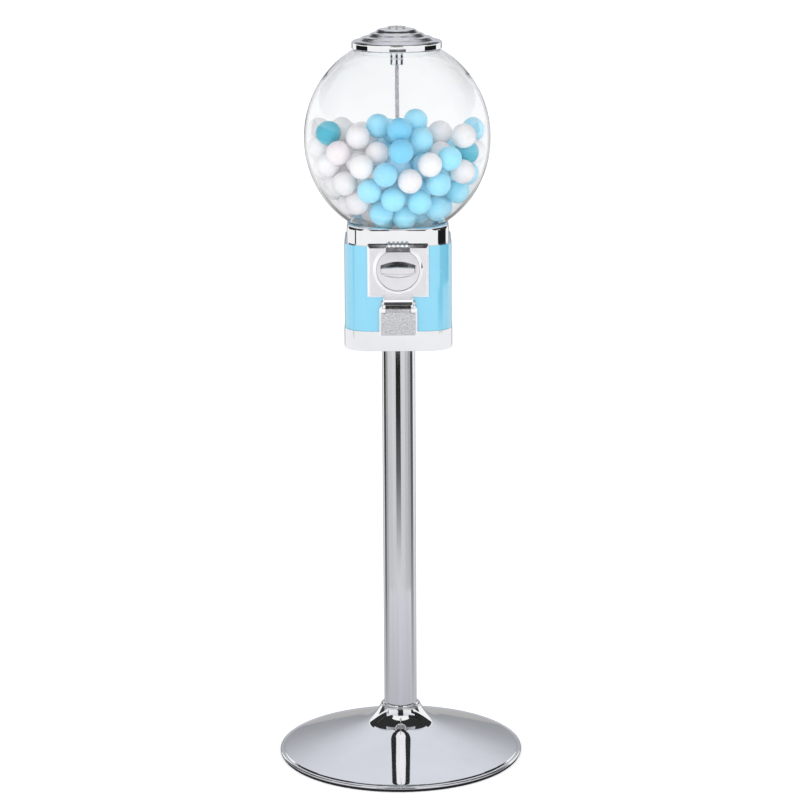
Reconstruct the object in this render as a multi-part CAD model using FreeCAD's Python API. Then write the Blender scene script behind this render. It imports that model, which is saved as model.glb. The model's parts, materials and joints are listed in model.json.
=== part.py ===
import FreeCAD, Part
import os
from math import pi, sin, cos, acos, radians, sqrt
from FreeCAD import Vector as V

os.makedirs("parts", exist_ok=True)

# ---------------------------------------------------------------- sizes (mm)
# +Z is up, the front of the machine looks along -Y, origin on the floor on the axis.
DISH_R = 156.7          # foot radius
NECK_Z = 64.5           # top of the foot's neck
POLE_R = 21.0           # tube outside radius
POLE_WALL = 1.5
PLINTH_Z0, PLINTH_Z1 = 545.3, 570.3
PLINTH_H = 67.2         # half width
SHELL_Z1 = 676.9
SHELL_H = 66.5
SHELL_T = 1.5
COLLAR_Z1 = 698.8
COLLAR_H = 63.2
GLOBE_Z, GLOBE_A, GLOBE_B, GLOBE_T = 802.0, 115.7, 123.0, 3.0
LID_Z0, LID_R = 913.0, 55.9
ROD_R = 2.4
DIAL_Z = 648.5          # height of the dial's axis
BALL_R = 15.0
WHEEL_Z0, WHEEL_Z1 = 664.5, 690.0
POCKETS, POCKET_PCR, POCKET_R = 4, 33.5, 16.5
DROP_A = -40.0          # direction of the drop hole, degrees from +X
PIN_N, CROWN_N = 12, 48 # teeth of the pinion and of the wheel's crown
PIN_PR, CROWN_PR = 13.5, 54.0
FLOOR_Z1 = 661.0        # ball floor, upper face
FLAP_Y, FLAP_Z = -72.9, 598.1   # flap hinge axis
PLATE_Y0, PLATE_Y1 = -70.5, -66.5
PLATE_BEVEL = 2.9       # 45 degree border of the coin plate
DISC_R = 26.5           # dial disc
Z = V(0, 0, 1)
O = V(0, 0, 0)


# ---------------------------------------------------------------- helpers
def cyl(r, z0, z1, x=0.0, y=0.0):
    return Part.makeCylinder(r, z1 - z0, V(x, y, z0), Z)


def ycyl(r, y0, y1, x=0.0, z=0.0):
    return Part.makeCylinder(r, y1 - y0, V(x, y0, z), V(0, 1, 0))


def xcyl(r, x0, x1, y=0.0, z=0.0):
    return Part.makeCylinder(r, x1 - x0, V(x0, y, z), V(1, 0, 0))


def box(x0, x1, y0, y1, z0, z1):
    return Part.makeBox(x1 - x0, y1 - y0, z1 - z0, V(x0, y0, z0))


def ring(r0, r1, z0, z1, x=0.0, y=0.0):
    return cyl(r1, z0, z1, x, y).cut(cyl(r0, z0 - 1, z1 + 1, x, y))


def poly(pts):
    return Part.makePolygon([V(*p) for p in pts] + [V(*pts[0])])


def prism(pts, d):
    return Part.Face(poly(pts)).extrude(d)


def rev(pts):
    """Turn a closed (r, z) outline about the Z axis."""
    return Part.Face(poly([(r, 0, z) for r, z in pts])).revolve(O, Z, 360)


def rev_wire(edges):
    return Part.Face(Part.Wire(edges)).revolve(O, Z, 360)


def seg(a, b):
    return Part.makeLine(V(a[0], 0, a[1]), V(b[0], 0, b[1]))


def spline(pts):
    c = Part.BSplineCurve()
    c.interpolate([V(r, 0, z) for r, z in pts])
    return c.toShape()


def arc(a, m, b):
    return Part.Arc(V(a[0], 0, a[1]), V(m[0], 0, m[1]), V(b[0], 0, b[1])).toShape()


def rsq_wire(h, f, z, flat=0.8):
    """Rounded square, half width h, flats to +-f; the corner arcs meet the flats in a faint crease."""
    c = h - f
    mid = f + c * cos(pi / 4) - flat
    e = []
    P = [V(f, -h, z), V(h, -f, z), V(h, f, z), V(f, h, z), V(-f, h, z), V(-h, f, z), V(-h, -f, z), V(-f, -h, z)]
    M = [V(mid, -mid, z), V(mid, mid, z), V(-mid, mid, z), V(-mid, -mid, z)]
    for k in range(4):
        e.append(Part.Arc(P[2 * k], M[k], P[2 * k + 1]).toShape())
        e.append(Part.makeLine(P[2 * k + 1], P[(2 * k + 2) % 8]))
    return Part.Wire(e)


def rsq(h, f, z0, z1, flat=0.8):
    return Part.Face(rsq_wire(h, f, z0, flat)).extrude(V(0, 0, z1 - z0))


def hexa(af, z0, z1, x=0.0, y=0.0):
    r = af / sqrt(3.0)
    return prism([(x + r * cos(radians(60 * k)), y + r * sin(radians(60 * k)), z0) for k in range(6)], V(0, 0, z1 - z0))


def out(name, shape):
    if isinstance(shape, (list, tuple)):
        shape = Part.makeCompound(list(shape))
    shape.exportStep("parts/%s.step" % name)


# ================================================================ stand
# foot: pressed cone, flared into the neck and turned down to a rolled rim
prof_o = [(152.6, 6.6), (151.9, 7.35), (150.8, 8.0), (148.8, 8.8), (144.0, 10.45), (135.0, 13.45), (120.0, 18.4), (100.0, 24.9), (80.0, 31.3), (65.0, 36.0), (55.0, 39.3), (47.0, 42.7), (40.0, 47.0), (32.5, 53.4), (28.4, 58.6), (25.8, NECK_Z - 1.5)]
prof_i = [(23.6, NECK_Z - 2.0), (26.3, 57.6), (30.7, 51.7), (38.5, 45.0), (45.8, 40.4), (54.2, 36.95), (64.3, 33.7), (79.3, 29.0), (99.3, 22.6), (119.3, 16.1), (134.3, 11.2), (143.2, 8.3), (147.6, 6.7), (149.2, 5.8), (150.0, 4.6)]
lip = [(25.8, NECK_Z - 1.5), (25.7, NECK_Z - 0.2), (24.7, NECK_Z + 0.5), (23.7, NECK_Z - 0.2), (23.6, NECK_Z - 2.0)]
dish = rev_wire([
    spline(prof_o),
    seg(lip[0], lip[1]), arc(lip[1], lip[2], lip[3]), seg(lip[3], lip[4]),
    spline(prof_i),
    seg((150.0, 4.6), (150.4, 3.2)), seg((150.4, 3.2), (151.6, 1.6)), seg((151.6, 1.6), (154.6, 1.6)),
    arc((154.6, 1.6), (DISH_R, 4.2), (154.4, 6.9)), arc((154.4, 6.9), (153.3, 7.3), (152.6, 6.6))])
out("base_dish", dish)

# black edge ring it stands on
out("foot_ring", rev([(146.0, 0), (154.2, 0), (154.9, 0.6), (154.9, 1.5), (151.5, 1.5), (150.2, 3.0), (149.6, 4.2), (146.0, 4.2)]))

# cast weight with a counterbore for the tie rod's nut
weight = cyl(104, 3.2, 14.0).cut(cyl(15, 2, 9.0)).cut(cyl(5.3, 8, 15))
weight = weight.cut(Part.makeTorus(60, 4, V(0, 0, 14.6), Z))
out("base_weight", weight)

# tube socket under the neck
hub = rev([(5.3, 14.1), (52, 14.1), (52, 19), (27, 20.5), (23.4, 24), (23.4, 60.0), (POLE_R + 0.06, 60.0), (POLE_R + 0.06, 24.0), (5.3, 24.0)])
out("base_hub", hub)

out("neck_ring", rev([(POLE_R + 0.06, 60.1), (23.4, 60.1), (23.4, 66.2), (22.9, 67.4), (22.1, 67.8), (POLE_R + 0.06, 67.2)]))
out("pole_tube", ring(POLE_R - POLE_WALL, POLE_R, 24.1, 545.7))
out("tie_rod", cyl(5.0, 1.9, 545.0))
out("tie_rod_nut", hexa(17, 2.2, 7.1).cut(cyl(5.04, 1, 8)))
out("tie_rod_washer", ring(5.15, 12, 7.1, 8.95))
flange = cyl(42, 545.8, 550.4).fuse(cyl(POLE_R - POLE_WALL - 0.1, 522, 545.8)).removeSplitter().cut(cyl(5.04, 520, 545.2))
holes4 = [(31 * cos(radians(a)), 31 * sin(radians(a))) for a in (45, 135, 225, 315)]
for x, y in holes4:
    flange = flange.cut(cyl(2.6, 540, 552, x, y))
out("top_flange", flange)
out("flange_screws", [cyl(4.4, 542.6, 545.75, x, y).fuse(cyl(2.5, 545.75, 553.2, x, y)).removeSplitter() for x, y in holes4])

# ================================================================ head: casing
pl = rsq(PLINTH_H, 38.0, PLINTH_Z0, PLINTH_Z1).cut(rsq(PLINTH_H - 3.0, 38.0, PLINTH_Z0 - 1, PLINTH_Z1 + 1))
out("plinth", pl)
# steel plate across the plinth: screwed to the tube's flange, carries the centre rod's boss
bp = rsq(PLINTH_H - 3.02, 37.9, 550.5, 553.5).fuse(cyl(8.5, 553.0, 564.0)).removeSplitter().cut(cyl(ROD_R + 0.05, 555.5, 566))
for x, y in holes4:
    bp = bp.cut(cyl(2.55, 549, 554, x, y))
out("base_plate", bp)

sh = rsq(SHELL_H, 37.3, PLINTH_Z1, SHELL_Z1).cut(rsq(SHELL_H - SHELL_T, 37.3, PLINTH_Z1 - 1, SHELL_Z1 + 1))
sh = sh.cut(box(-31, 31, -70, -60, 618, 674)).cut(box(-20.9, 20.9, -70, -60, 569, 609))
screw_xz = [(-34.6, 620.5), (34.6, 620.5), (-34.6, 671.5), (34.6, 671.5)]
for x, z in screw_xz:
    sh = sh.cut(ycyl(1.65, -70, -60, x, z))
out("body_shell", sh)

# collar: rounded-square casting with a bevelled top, a round seat and an inner well for the wheel
skirt = rsq(COLLAR_H, 36.0, SHELL_Z1 + 0.1, 695.2)
bev = Part.makeLoft([rsq_wire(COLLAR_H, 36.0, 695.2), rsq_wire(COLLAR_H - 1.6, 35.4, 697.4)], True, True)
top = Part.makeLoft([rsq_wire(COLLAR_H - 1.6, 35.4, 697.4), rsq_wire(COLLAR_H - 3.0, 35.0, COLLAR_Z1)], True, True)
col = skirt.fuse([bev, top])
col = col.cut(rsq(COLLAR_H - 2.4, 36.0, SHELL_Z1 - 1, 693.0))
well = cyl(61.2, 666.0, 694.0)
lid_ring = rsq(SHELL_H - SHELL_T - 0.25, 37.0, 675.0, SHELL_Z1 + 0.1).cut(rsq(COLLAR_H - 2.4, 36.0, 674, 679))
boss_a = (45, 135, 225)
bosses = [cyl(6.0, 668.0, 694.0, 71 * cos(radians(a)), 71 * sin(radians(a))) for a in boss_a]
col = col.fuse([well, lid_ring] + bosses).removeSplitter()
col = col.cut(cyl(58.9, 686.0, 700)).cut(cyl(55.0, 680, 690)).cut(cyl(58.2, 660, 682.0))
col = col.cut(rev([(0, 690), (58.9, 690), (58.9, 694.8), (70.2, 703.6), (0, 703.6)]))
for a in boss_a:
    col = col.cut(cyl(1.55, 660, 682, 71 * cos(radians(a)), 71 * sin(radians(a))))
out("top_collar", col)

out("globe_gasket", ring(55.2, 58.6, 686.0, 687.4))

# clear globe: slightly taller than wide, straight necks at both ends
def ell(a, b, r):
    return b * sqrt(1 - (r / a) ** 2)


def ell_arc(a, b, r0, r1):
    """Arc of the globe's outline from radius r0 below the middle to radius r1 above it."""
    pts = []
    t0 = -acos(r0 / a)
    t1 = acos(r1 / a)
    for k in range(41):
        t = t0 + (t1 - t0) * k / 40.0
        pts.append((a * cos(t), GLOBE_Z + b * sin(t)))
    return pts


ao, bo = GLOBE_A, GLOBE_B
ai, bi = GLOBE_A - GLOBE_T, GLOBE_B - GLOBE_T
po = ell_arc(ao, bo, 68.0, 53.4)
pi_ = ell_arc(ai, bi, 65.4, 50.2)
globe = rev_wire([
    seg((55.6, 687.5), (58.5, 687.5)), seg((58.5, 687.5), (58.5, 695.2)), seg((58.5, 695.2), po[0]),
    spline(po), seg(po[-1], (53.0, po[-1][1] + 0.6)), seg((53.0, po[-1][1] + 0.6), (53.0, 917.6)), seg((53.0, 917.6), (50.2, 917.6)),
    seg((50.2, 917.6), pi_[-1]), spline(pi_[::-1]), seg(pi_[0], (55.6, 696.4)), seg((55.6, 696.4), (55.6, 687.5))])
# one moulding, kept as rings of wall with a hair line between them
cuts = [680.0, 704.0, 740.0, 776.0, 812.0, 848.0, 880.0, 920.0]
rings = [globe.common(ring(1.0, 130.0, cuts[k] + 0.01, cuts[k + 1] - 0.01)) for k in range(len(cuts) - 1)]
out("globe", [s for r in rings for s in r.Solids])

# ================================================================ lid and lock
out("lid_gasket", ring(50.3, 52.9, 917.7, 919.0))
lid = rev([
    (LID_R - 0.3, LID_Z0), (LID_R, LID_Z0 + 0.4), (LID_R, 920.0), (LID_R - 0.5, 921.2), (54.2, 922.6), (52.3, 923.4), (49.0, 923.9),
    (47.2, 923.7), (46.2, 924.1), (45.0, 925.5), (43.2, 926.6), (40.5, 927.5), (37.6, 928.0), (36.2, 927.7), (35.3, 928.1),
    (33.5, 929.6), (31.0, 931.3), (28.6, 932.6), (27.0, 932.3), (26.0, 933.3), (25.2, 934.2), (24.3, 935.4), (22.6, 936.2), (18.0, 936.9), (12.6, 937.2),
    (8.78, 937.2), (8.78, 926.0), (11.0, 926.0), (12.2, 931.8), (24.0, 930.6), (34.0, 925.4), (44.6, 922.6), (50.6, 921.0), (50.0, 919.1), (53.4, 919.1), (53.4, LID_Z0)])
out("lid", lid)
barrel = rev([(ROD_R + 0.08, 891.2), (8.2, 891.2), (8.7, 891.8), (8.7, 899.2), (8.2, 899.5), (8.2, 900.3), (8.7, 900.6), (8.7, 937.3), (11.6, 937.3), (11.6, 938.6), (11.0, 939.2),
              (6.08, 939.2), (6.08, 921.0), (4.0, 920.0), (4.0, 899.0), (ROD_R + 0.08, 898.0)])
out("lock_barrel", barrel)
out("lock_nut", hexa(23.0, 922.2, 925.9).cut(cyl(8.76, 921, 927)))
plug = cyl(6.0, 921.3, 939.6).cut(box(-0.7, 0.7, -3.6, 3.6, 931, 941)).cut(box(-1.5, 1.5, -1.6, 1.6, 931, 941))
out("lock_plug", plug)

# ================================================================ centre rod
out("centre_rod", cyl(ROD_R, 556.0, 918.0))
out("rod_nut", hexa(9.5, 565.2, 569.4).cut(cyl(ROD_R + 0.05, 560, 575)))
out("rod_washer", ring(ROD_R + 0.1, 7.0, 564.1, 565.15))

# ================================================================ ball feed
dx, dy = POCKET_PCR * cos(radians(DROP_A)), POCKET_PCR * sin(radians(DROP_A))
floor = cyl(50.0, 658.0, FLOOR_Z1).fuse([cyl(9.0, 640.0, 658.0), cyl(18.6, 640.0, 658.0, dx, dy), cyl(7.0, FLOOR_Z1, 691.0)])
arms = []
for a in boss_a:
    b = box(20, 71, -5, 5, 651, 656.5)
    b.rotate(O, Z, a)
    arms += [b, cyl(5.5, 651.0, 667.9, 71 * cos(radians(a)), 71 * sin(radians(a)))]
    rib = box(20, 48, -5, 5, 655, 658.5)
    rib.rotate(O, Z, a)
    arms.append(rib)
floor = floor.fuse(arms).removeSplitter()
floor = floor.cut(cyl(16.8, 630, 670, dx, dy)).cut(cyl(ROD_R + 0.06, 630, 700))
for a in boss_a:
    floor = floor.cut(cyl(1.7, 640, 670, 71 * cos(radians(a)), 71 * sin(radians(a))))
out("hopper_floor", floor)
out("hopper_screws", [cyl(3.2, 648.4, 650.95, 71 * cos(radians(a)), 71 * sin(radians(a))).fuse(cyl(1.5, 650.95, 680.0, 71 * cos(radians(a)), 71 * sin(radians(a)))).removeSplitter() for a in boss_a])
out("wheel_washer", ring(7.06, 13.5, FLOOR_Z1 + 0.02, 664.2))

wheel = rev([(7.1, WHEEL_Z0), (57.2, WHEEL_Z0), (57.2, 681.2), (54.2, 681.2), (53.6, 689.4), (53.0, WHEEL_Z1), (7.1, WHEEL_Z1)])
pock_a = [DROP_A + 45 + 90 * k for k in range(POCKETS)]
for a in pock_a:
    wheel = wheel.cut(cyl(POCKET_R, 660, 695, POCKET_PCR * cos(radians(a)), POCKET_PCR * sin(radians(a))))
teeth = []
for k in range(CROWN_N):
    a = 360.0 / CROWN_N * (k + 0.5) - 90.0
    t = prism([(51.6, -0.65, 659.9), (51.6, 0.65, 659.9), (51.6, 1.25, 662.0), (51.6, 1.9, 664.7), (51.6, -1.9, 664.7), (51.6, -1.25, 662.0)], V(5.4, 0, 0))
    t.rotate(O, Z, a)
    teeth.append(t)
wheel = wheel.fuse(teeth).removeSplitter()
out("product_wheel", wheel)
out("gumballs_in_wheel", [Part.makeSphere(BALL_R, V(POCKET_PCR * cos(radians(a)), POCKET_PCR * sin(radians(a)), FLOOR_Z1 + BALL_R + 0.2)) for a in pock_a])

# guard over the drop hole, clamped on top of the floor's post
sector = [(0.0, 0.0, 693.0)]
for k in range(13):
    a = DROP_A - 31 + 62.0 * k / 12
    sector.append((52.0 * cos(radians(a)), 52.0 * sin(radians(a)), 693.0))
guard = prism(sector, V(0, 0, 2.4)).fuse(cyl(11.0, 691.1, 697.0)).removeSplitter().cut(cyl(ROD_R + 0.06, 690, 700))
out("ball_guard", guard)
out("guard_nut", hexa(9.5, 697.05, 701.0).cut(cyl(ROD_R + 0.05, 690, 710)))

# ================================================================ coin mechanism
plate = box(-37.8, 37.8, PLATE_Y0, PLATE_Y1, 613.4, 678.9)
fr = [e for e in plate.Edges if e.BoundBox.YMax < PLATE_Y0 + 1e-6 and e.BoundBox.ZMin < 678.0]
plate = plate.makeChamfer(PLATE_BEVEL, fr)
# the top border is a little steeper than the other three
plate = plate.cut(prism([(-40, PLATE_Y0 - 0.5, 675.0 - 0.5 * 3.9 / PLATE_BEVEL), (-40, PLATE_Y0 + PLATE_BEVEL, 678.9), (-40, PLATE_Y0 + PLATE_BEVEL, 680.0), (-40, PLATE_Y0 - 0.5, 680.0)], V(80, 0, 0)))
plate = plate.cut(ycyl(DISC_R + 0.4, -72, -69.3, 0, DIAL_Z)).cut(ycyl(4.06, -75, -60, 0, DIAL_Z))
plate = plate.cut(box(-13, 13, -75, -66, 673.6, 676.4))
for x, z in screw_xz:
    plate = plate.cut(ycyl(1.55, -69, -66, x, z))
out("coin_plate", plate)
out("mech_screws", [ycyl(3.0, -64.9, -62.9, x, z).fuse(ycyl(1.5, -68.6, -64.9, x, z)).removeSplitter() for x, z in screw_xz])

# conical ring round the dial, a little wider at the top, with a pointer notch at its right
dring = Part.makeCone(27.6, 31.0, 2.9, V(0, PLATE_Y0 - 2.9, DIAL_Z + 0.5), V(0, 1, 0)).cut(ycyl(DISC_R + 0.4, -80, -60, 0, DIAL_Z))
dring = dring.cut(box(-15.6, 15.6, -80, -60, DIAL_Z + 10, DIAL_Z + 40))
dring = dring.cut(prism([(28.9, -76, 657.2), (32.5, -76, 650.4), (28.5, -76, 650.4)], V(0, 5.0, 0)))
out("dial_ring", dring)

# coin entry: block bridging the top of the dial, open to the slot in the plate
ce = box(-14.7, 14.7, -79.2, -74.2, 671.4, 677.8).fuse(box(-14.7, 14.7, -75.2, PLATE_Y0, 676.2, 677.2)).removeSplitter()
ce = ce.fuse([box(-14.7, -12.6, -75.2, PLATE_Y0, 672.6, 677.2), box(12.6, 14.7, -75.2, PLATE_Y0, 672.6, 677.2)]).removeSplitter()
ce = ce.cut(box(-12.6, 12.6, -76.2, -70, 671.0, 676.2))
# framed front and five ribs on top
ce = ce.cut(box(-13.7, 13.7, -80, -78.3, 672.3, 676.9))
ce = ce.fuse([box(x - 1.6, x + 1.6, -78.0, -71.0, 677.0, 679.9) for x in (-10.8, -5.4, 0.0, 5.4, 10.8)]).removeSplitter()
out("coin_entry", ce)

# dial: dished disc with a blunt-ended grip bar, in front of the plate
disc = ycyl(DISC_R, -73.2, -69.6, 0, DIAL_Z)
disc = disc.cut(Part.makeSphere(120.0, V(0, -73.2 - 120.0 + 1.3, DIAL_Z)))


def grip(hx, zc, ze, y):
    """Section of the grip: crowned above and below, blunt at both ends."""
    P = [V(-hx, y, DIAL_Z + ze), V(hx, y, DIAL_Z + ze), V(hx, y, DIAL_Z - ze), V(-hx, y, DIAL_Z - ze)]
    return Part.Wire([Part.Arc(P[0], V(0, y, DIAL_Z + zc), P[1]).toShape(), Part.makeLine(P[1], P[2]), Part.Arc(P[2], V(0, y, DIAL_Z - zc), P[3]).toShape(), Part.makeLine(P[3], P[0])])


bar = Part.makeLoft([grip(21.9, 10.2, 5.3, -72.2), grip(21.75, 8.3, 4.8, -76.0), grip(21.4, 6.4, 4.2, -79.4), grip(20.5, 4.4, 3.3, -82.2)], True, True)
dial = disc.fuse(bar).removeSplitter().cut(ycyl(4.02, -71.8, -60, 0, DIAL_Z))
out("dial_handle", dial)
out("dial_shaft", ycyl(4.0, -71.75, -45.5, 0, DIAL_Z).cut(ycyl(5, -47.0, -46.2, 0, DIAL_Z).cut(ycyl(3.3, -48, -45, 0, DIAL_Z))))
carrier = ycyl(22.0, -66.1, -63.1, 0, DIAL_Z).cut(ycyl(12.2, -70, -60, 0, DIAL_Z + 19.5)).cut(ycyl(4.02, -70, -60, 0, DIAL_Z))
out("coin_carrier", carrier)
pts = []
for k in range(12):
    a0 = radians(30 * k)
    a1 = radians(30 * k + 24)
    pts.append((12.0 * cos(a0), -62.6, DIAL_Z + 12.0 * sin(a0)))
    pts.append((9.8 * cos(a1), -62.6, DIAL_Z + 9.8 * sin(a1)))
rat = prism(pts, V(0, 2.5, 0)).cut(ycyl(4.02, -70, -50, 0, DIAL_Z))
out("ratchet_wheel", rat)
pin = ycyl(11.0, -57.0, -51.4, 0, DIAL_Z)
tt = []
for k in range(PIN_N):
    a = radians(90 + 360.0 / PIN_N * k)
    ux, uz = cos(a), sin(a)
    tx, tz = -sin(a), cos(a)
    prof = [(10.6, -1.9), (11.0, -1.85), (13.5, -1.15), (15.2, -0.6), (15.2, 0.6), (13.5, 1.15), (11.0, 1.85), (10.6, 1.9)]
    tt.append(prism([(r * ux + t * tx, -57.0, DIAL_Z + r * uz + t * tz) for r, t in prof], V(0, 5.6, 0)))
pin = pin.fuse(tt + [ycyl(7.0, -59.6, -57.0, 0, DIAL_Z)]).removeSplitter().cut(ycyl(4.02, -70, -40, 0, DIAL_Z))
out("drive_pinion", pin)
brk = box(-28, 28, PLATE_Y1, -47, 622, 655.8).cut(box(-26, 26, -70, -49.5, 610, 670))
PAWL_X, PAWL_Z = -19.0, 635.5
brk = brk.cut(ycyl(4.06, -60, -40, 0, DIAL_Z)).cut(ycyl(1.54, -60, -40, PAWL_X, PAWL_Z))
out("mech_bracket", brk)
clip = Part.makeCylinder(6.5, 0.7, V(0, -46.95, DIAL_Z), V(0, 1, 0)).cut(ycyl(3.34, -50, -40, 0, DIAL_Z)).cut(box(-2.6, 2.6, -50, -40, DIAL_Z - 10, DIAL_Z))
out("shaft_clip", clip)
out("pawl_pin", ycyl(1.5, -62.8, -47.0, PAWL_X, PAWL_Z))
pw = prism([(PAWL_X - 2.0, -62.6, PAWL_Z), (PAWL_X + 2.0, -62.6, PAWL_Z), (-12.7, -62.6, 647.6), (-12.9, -62.6, 650.0), (-14.6, -62.6, 649.8)], V(0, 2.5, 0))
pw = pw.fuse(ycyl(3.2, -62.6, -60.1, PAWL_X, PAWL_Z)).removeSplitter().cut(ycyl(1.56, -70, -50, PAWL_X, PAWL_Z))
out("ratchet_pawl", pw)
hel = Part.makeHelix(1.15, 4.6, 2.35)
circ = Part.Wire([Part.makeCircle(0.42, V(2.35, 0, 0), V(0, 1, 0))])
spr = Part.Wire(hel.Edges).makePipeShell([circ], True, True)
spr.rotate(O, V(1, 0, 0), -90)
spr.translate(V(PAWL_X, -58.6, PAWL_Z))
out("pawl_spring", spr)

# ================================================================ outlet
S = 0.55
def fz(y):
    return 572.5 + (y + 66.5) * S


inner = [(-19.0, -68), (19.0, -68), (19.0, -54), (42.5, -38), (42.5, -5.5), (9.0, -5.5), (-19.0, -36)]
outer = [(-20.6, -66.4), (20.6, -66.4), (20.6, -54.8), (44.1, -38.8), (44.1, -3.9), (8.2, -3.9), (-20.6, -35.2)]
ch = prism([(x, y, 560.0) for x, y in outer], V(0, 0, 76.0))
hol = prism([(x, y, 560.0) for x, y in inner], V(0, 0, 90.0))
below = prism([(-60, -80, 540), (-60, 10, 540), (-60, 10, fz(10)), (-60, -80, fz(-80))], V(120, 0, 0))
hol = hol.cut(below)
under = prism([(-60, -80, 540), (-60, 10, 540), (-60, 10, fz(10) - 1.8), (-60, -80, fz(-80) - 1.8)], V(120, 0, 0))
roofcut = prism([(-60, -80, fz(-80) + 32.3), (-60, -44, fz(-44) + 32.3), (-60, -44, 700), (-60, -80, 700)], V(120, 0, 0))
ch = ch.cut(hol).cut(under).cut(roofcut)
out("chute", ch)
roof = prism([(-20.6, -66.4, fz(-66.4) + 32.4), (-20.6, -44.1, fz(-44.1) + 32.4), (-20.6, -44.1, fz(-44.1) + 34.0), (-20.6, -66.4, fz(-66.4) + 34.0)], V(41.2, 0, 0))
roof = roof.common(prism([(-20.6, -67, 560.0), (20.6, -67, 560), (20.6, -54.8, 560), (29, -49.1, 560), (29, -40, 560), (-20.6, -40, 560)], V(0, 0, 100)))
out("chute_roof", roof)

# frame with a lip over the flap and two hinge lugs
frm = box(-23.4, 23.4, -71.0, -67.4, 566.0, 602.2)
frm = frm.makeFillet(1.2, [e for e in frm.Edges if abs(e.BoundBox.YLength - 3.6) < 1e-6 and e.BoundBox.ZMax < 570])
frm = frm.makeChamfer(2.6, [e for e in frm.Edges if abs(e.BoundBox.YLength - 3.6) < 1e-6 and e.BoundBox.ZMin > 600])
frm = frm.fuse(box(-18.4, 18.4, -71.0, -67.4, 600.0, 613.3)).removeSplitter()
frm = frm.cut(box(-19.0, 19.0, -80, -60, 572.5, 594.4)).cut(box(-15.8, 15.8, -80, -60, 594.0, 603.7))
hood = prism([(-17.4, -66.6, 613.3), (-17.4, -70.6, 613.3), (-17.4, -70.6, 617.2), (-17.4, -76.2, 611.4), (-17.4, -76.2, 608.9), (-17.4, -71.2, 604.0), (-17.4, -66.6, 604.0)], V(34.8, 0, 0))
frm = frm.fuse(hood).removeSplitter()
for s in (-1, 1):
    x0, x1 = (15.8, 20.2) if s > 0 else (-20.2, -15.8)
    lug = xcyl(3.4, x0, x1, FLAP_Y, FLAP_Z).fuse([box(x0, x1, FLAP_Y, -69.0, FLAP_Z - 1.5, FLAP_Z + 3.4), box(x0, x1, -71.0, -67.4, FLAP_Z - 1.5, 602.0)]).removeSplitter()
    frm = frm.fuse(lug).removeSplitter()
frm = frm.cut(xcyl(1.53, -20.3, 20.3, FLAP_Y, FLAP_Z))
out("chute_frame", frm)
out("flap_pin", xcyl(1.5, -20.2, 20.2, FLAP_Y, FLAP_Z))
flap = box(-21.3, 21.3, -74.2, -71.6, 566.6, FLAP_Z - 4.2).fuse(box(-15.4, 15.4, -74.2, -71.6, FLAP_Z - 5.0, FLAP_Z)).removeSplitter()
flap = flap.fuse(xcyl(2.4, -15.4, 15.4, FLAP_Y, FLAP_Z)).removeSplitter()
flap = flap.cut(xcyl(1.57, -30, 30, FLAP_Y, FLAP_Z))
out("chute_flap", flap)

tray = rsq(62.6, 37.0, 553.7, 566.0).cut(rsq(61.0, 37.0, 555.2, 567.0)).cut(cyl(9.2, 550, 570))
out("coin_tray", tray)
# ================================================================ loose gumballs, settled in the globe (ball centres)
BALLS_BLUE = [
    (-14.48, -90.99, 769.02), (-33.84, -75.94, 747.51), (-5.48, -76.06, 736.91), (26.12, -67.96, 732.50),
    (49.31, -71.59, 754.83), (4.71, -97.19, 797.98), (2.55, -78.35, 821.58), (-23.25, -49.86, 822.99),
    (22.30, -45.54, 828.18), (28.86, -68.38, 807.91), (-19.90, -52.64, 716.58), (7.95, -42.43, 709.29),
    (47.06, -35.13, 718.51), (-83.35, -45.14, 814.01), (62.91, -69.05, 785.48), (74.68, -11.51, 735.98),
    (84.66, -25.33, 787.18), (-58.43, 6.79, 718.59), (53.83, -5.21, 714.95), (95.31, 18.66, 809.64),
    (22.16, -39.86, 797.62), (60.30, 29.77, 787.19), (-41.11, 24.51, 797.49), (-20.66, 26.06, 736.31),
    (77.51, 37.81, 753.40), (-23.77, 77.99, 744.77), (-24.29, 64.40, 771.82), (5.48, 32.05, 706.90),
    (30.59, 12.32, 775.41), (15.05, 38.00, 771.44), (-48.24, 50.97, 784.58), (0.41, -46.41, 738.72),
    (26.93, -31.86, 740.89), (8.24, -15.61, 786.01), (5.89, 66.81, 769.57), (17.23, -4.24, 753.87),
    (30.13, -2.14, 802.02), (-32.68, 10.20, 764.93), (66.37, -16.75, 764.62), (32.42, 43.29, 714.96),
    (32.29, 36.16, 796.75), (-34.04, -17.38, 777.34), (-20.25, 68.24, 801.59), (6.35, 79.63, 742.14),
    (-17.09, 34.91, 780.43), (30.92, 83.41, 759.42), (10.92, -38.05, 765.86), (32.95, 66.57, 734.32),
    (7.26, 59.51, 719.52), (11.90, 13.03, 729.58), (-3.69, 17.26, 759.79), (-24.88, -29.46, 735.41),
    (56.90, 45.60, 732.63), (20.87, 73.72, 804.13), (7.99, 18.21, 794.68), (-16.16, -24.16, 706.90),
    (17.48, 40.45, 741.15), (-54.98, 19.33, 746.59), (-10.53, 96.76, 798.64), (43.34, 39.63, 760.79),
    (-22.91, 58.25, 721.82), (-3.66, -28.07, 812.15), (3.47, 50.07, 796.68), (35.04, -20.07, 772.55),
    (40.14, 20.72, 737.35), (-18.96, 4.79, 791.40), (33.83, 61.20, 779.80), (55.59, 66.58, 754.43),
    (69.77, 18.20, 731.66), (0.93, -65.23, 774.71), (-11.01, -14.38, 757.89), (31.60, -58.05, 775.32),
    (86.91, 8.07, 755.58), (25.59, -15.27, 710.65), (-53.70, 73.75, 765.41), (-12.68, -37.50, 784.82),
    (50.36, -41.45, 757.51), (-36.64, 88.88, 785.33), (59.30, -0.43, 789.13), (-24.80, 31.97, 706.90),
    (-34.60, -0.81, 736.79), (74.55, 57.94, 776.40), (15.26, 94.51, 782.84), (56.67, 78.38, 789.80),
]
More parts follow.
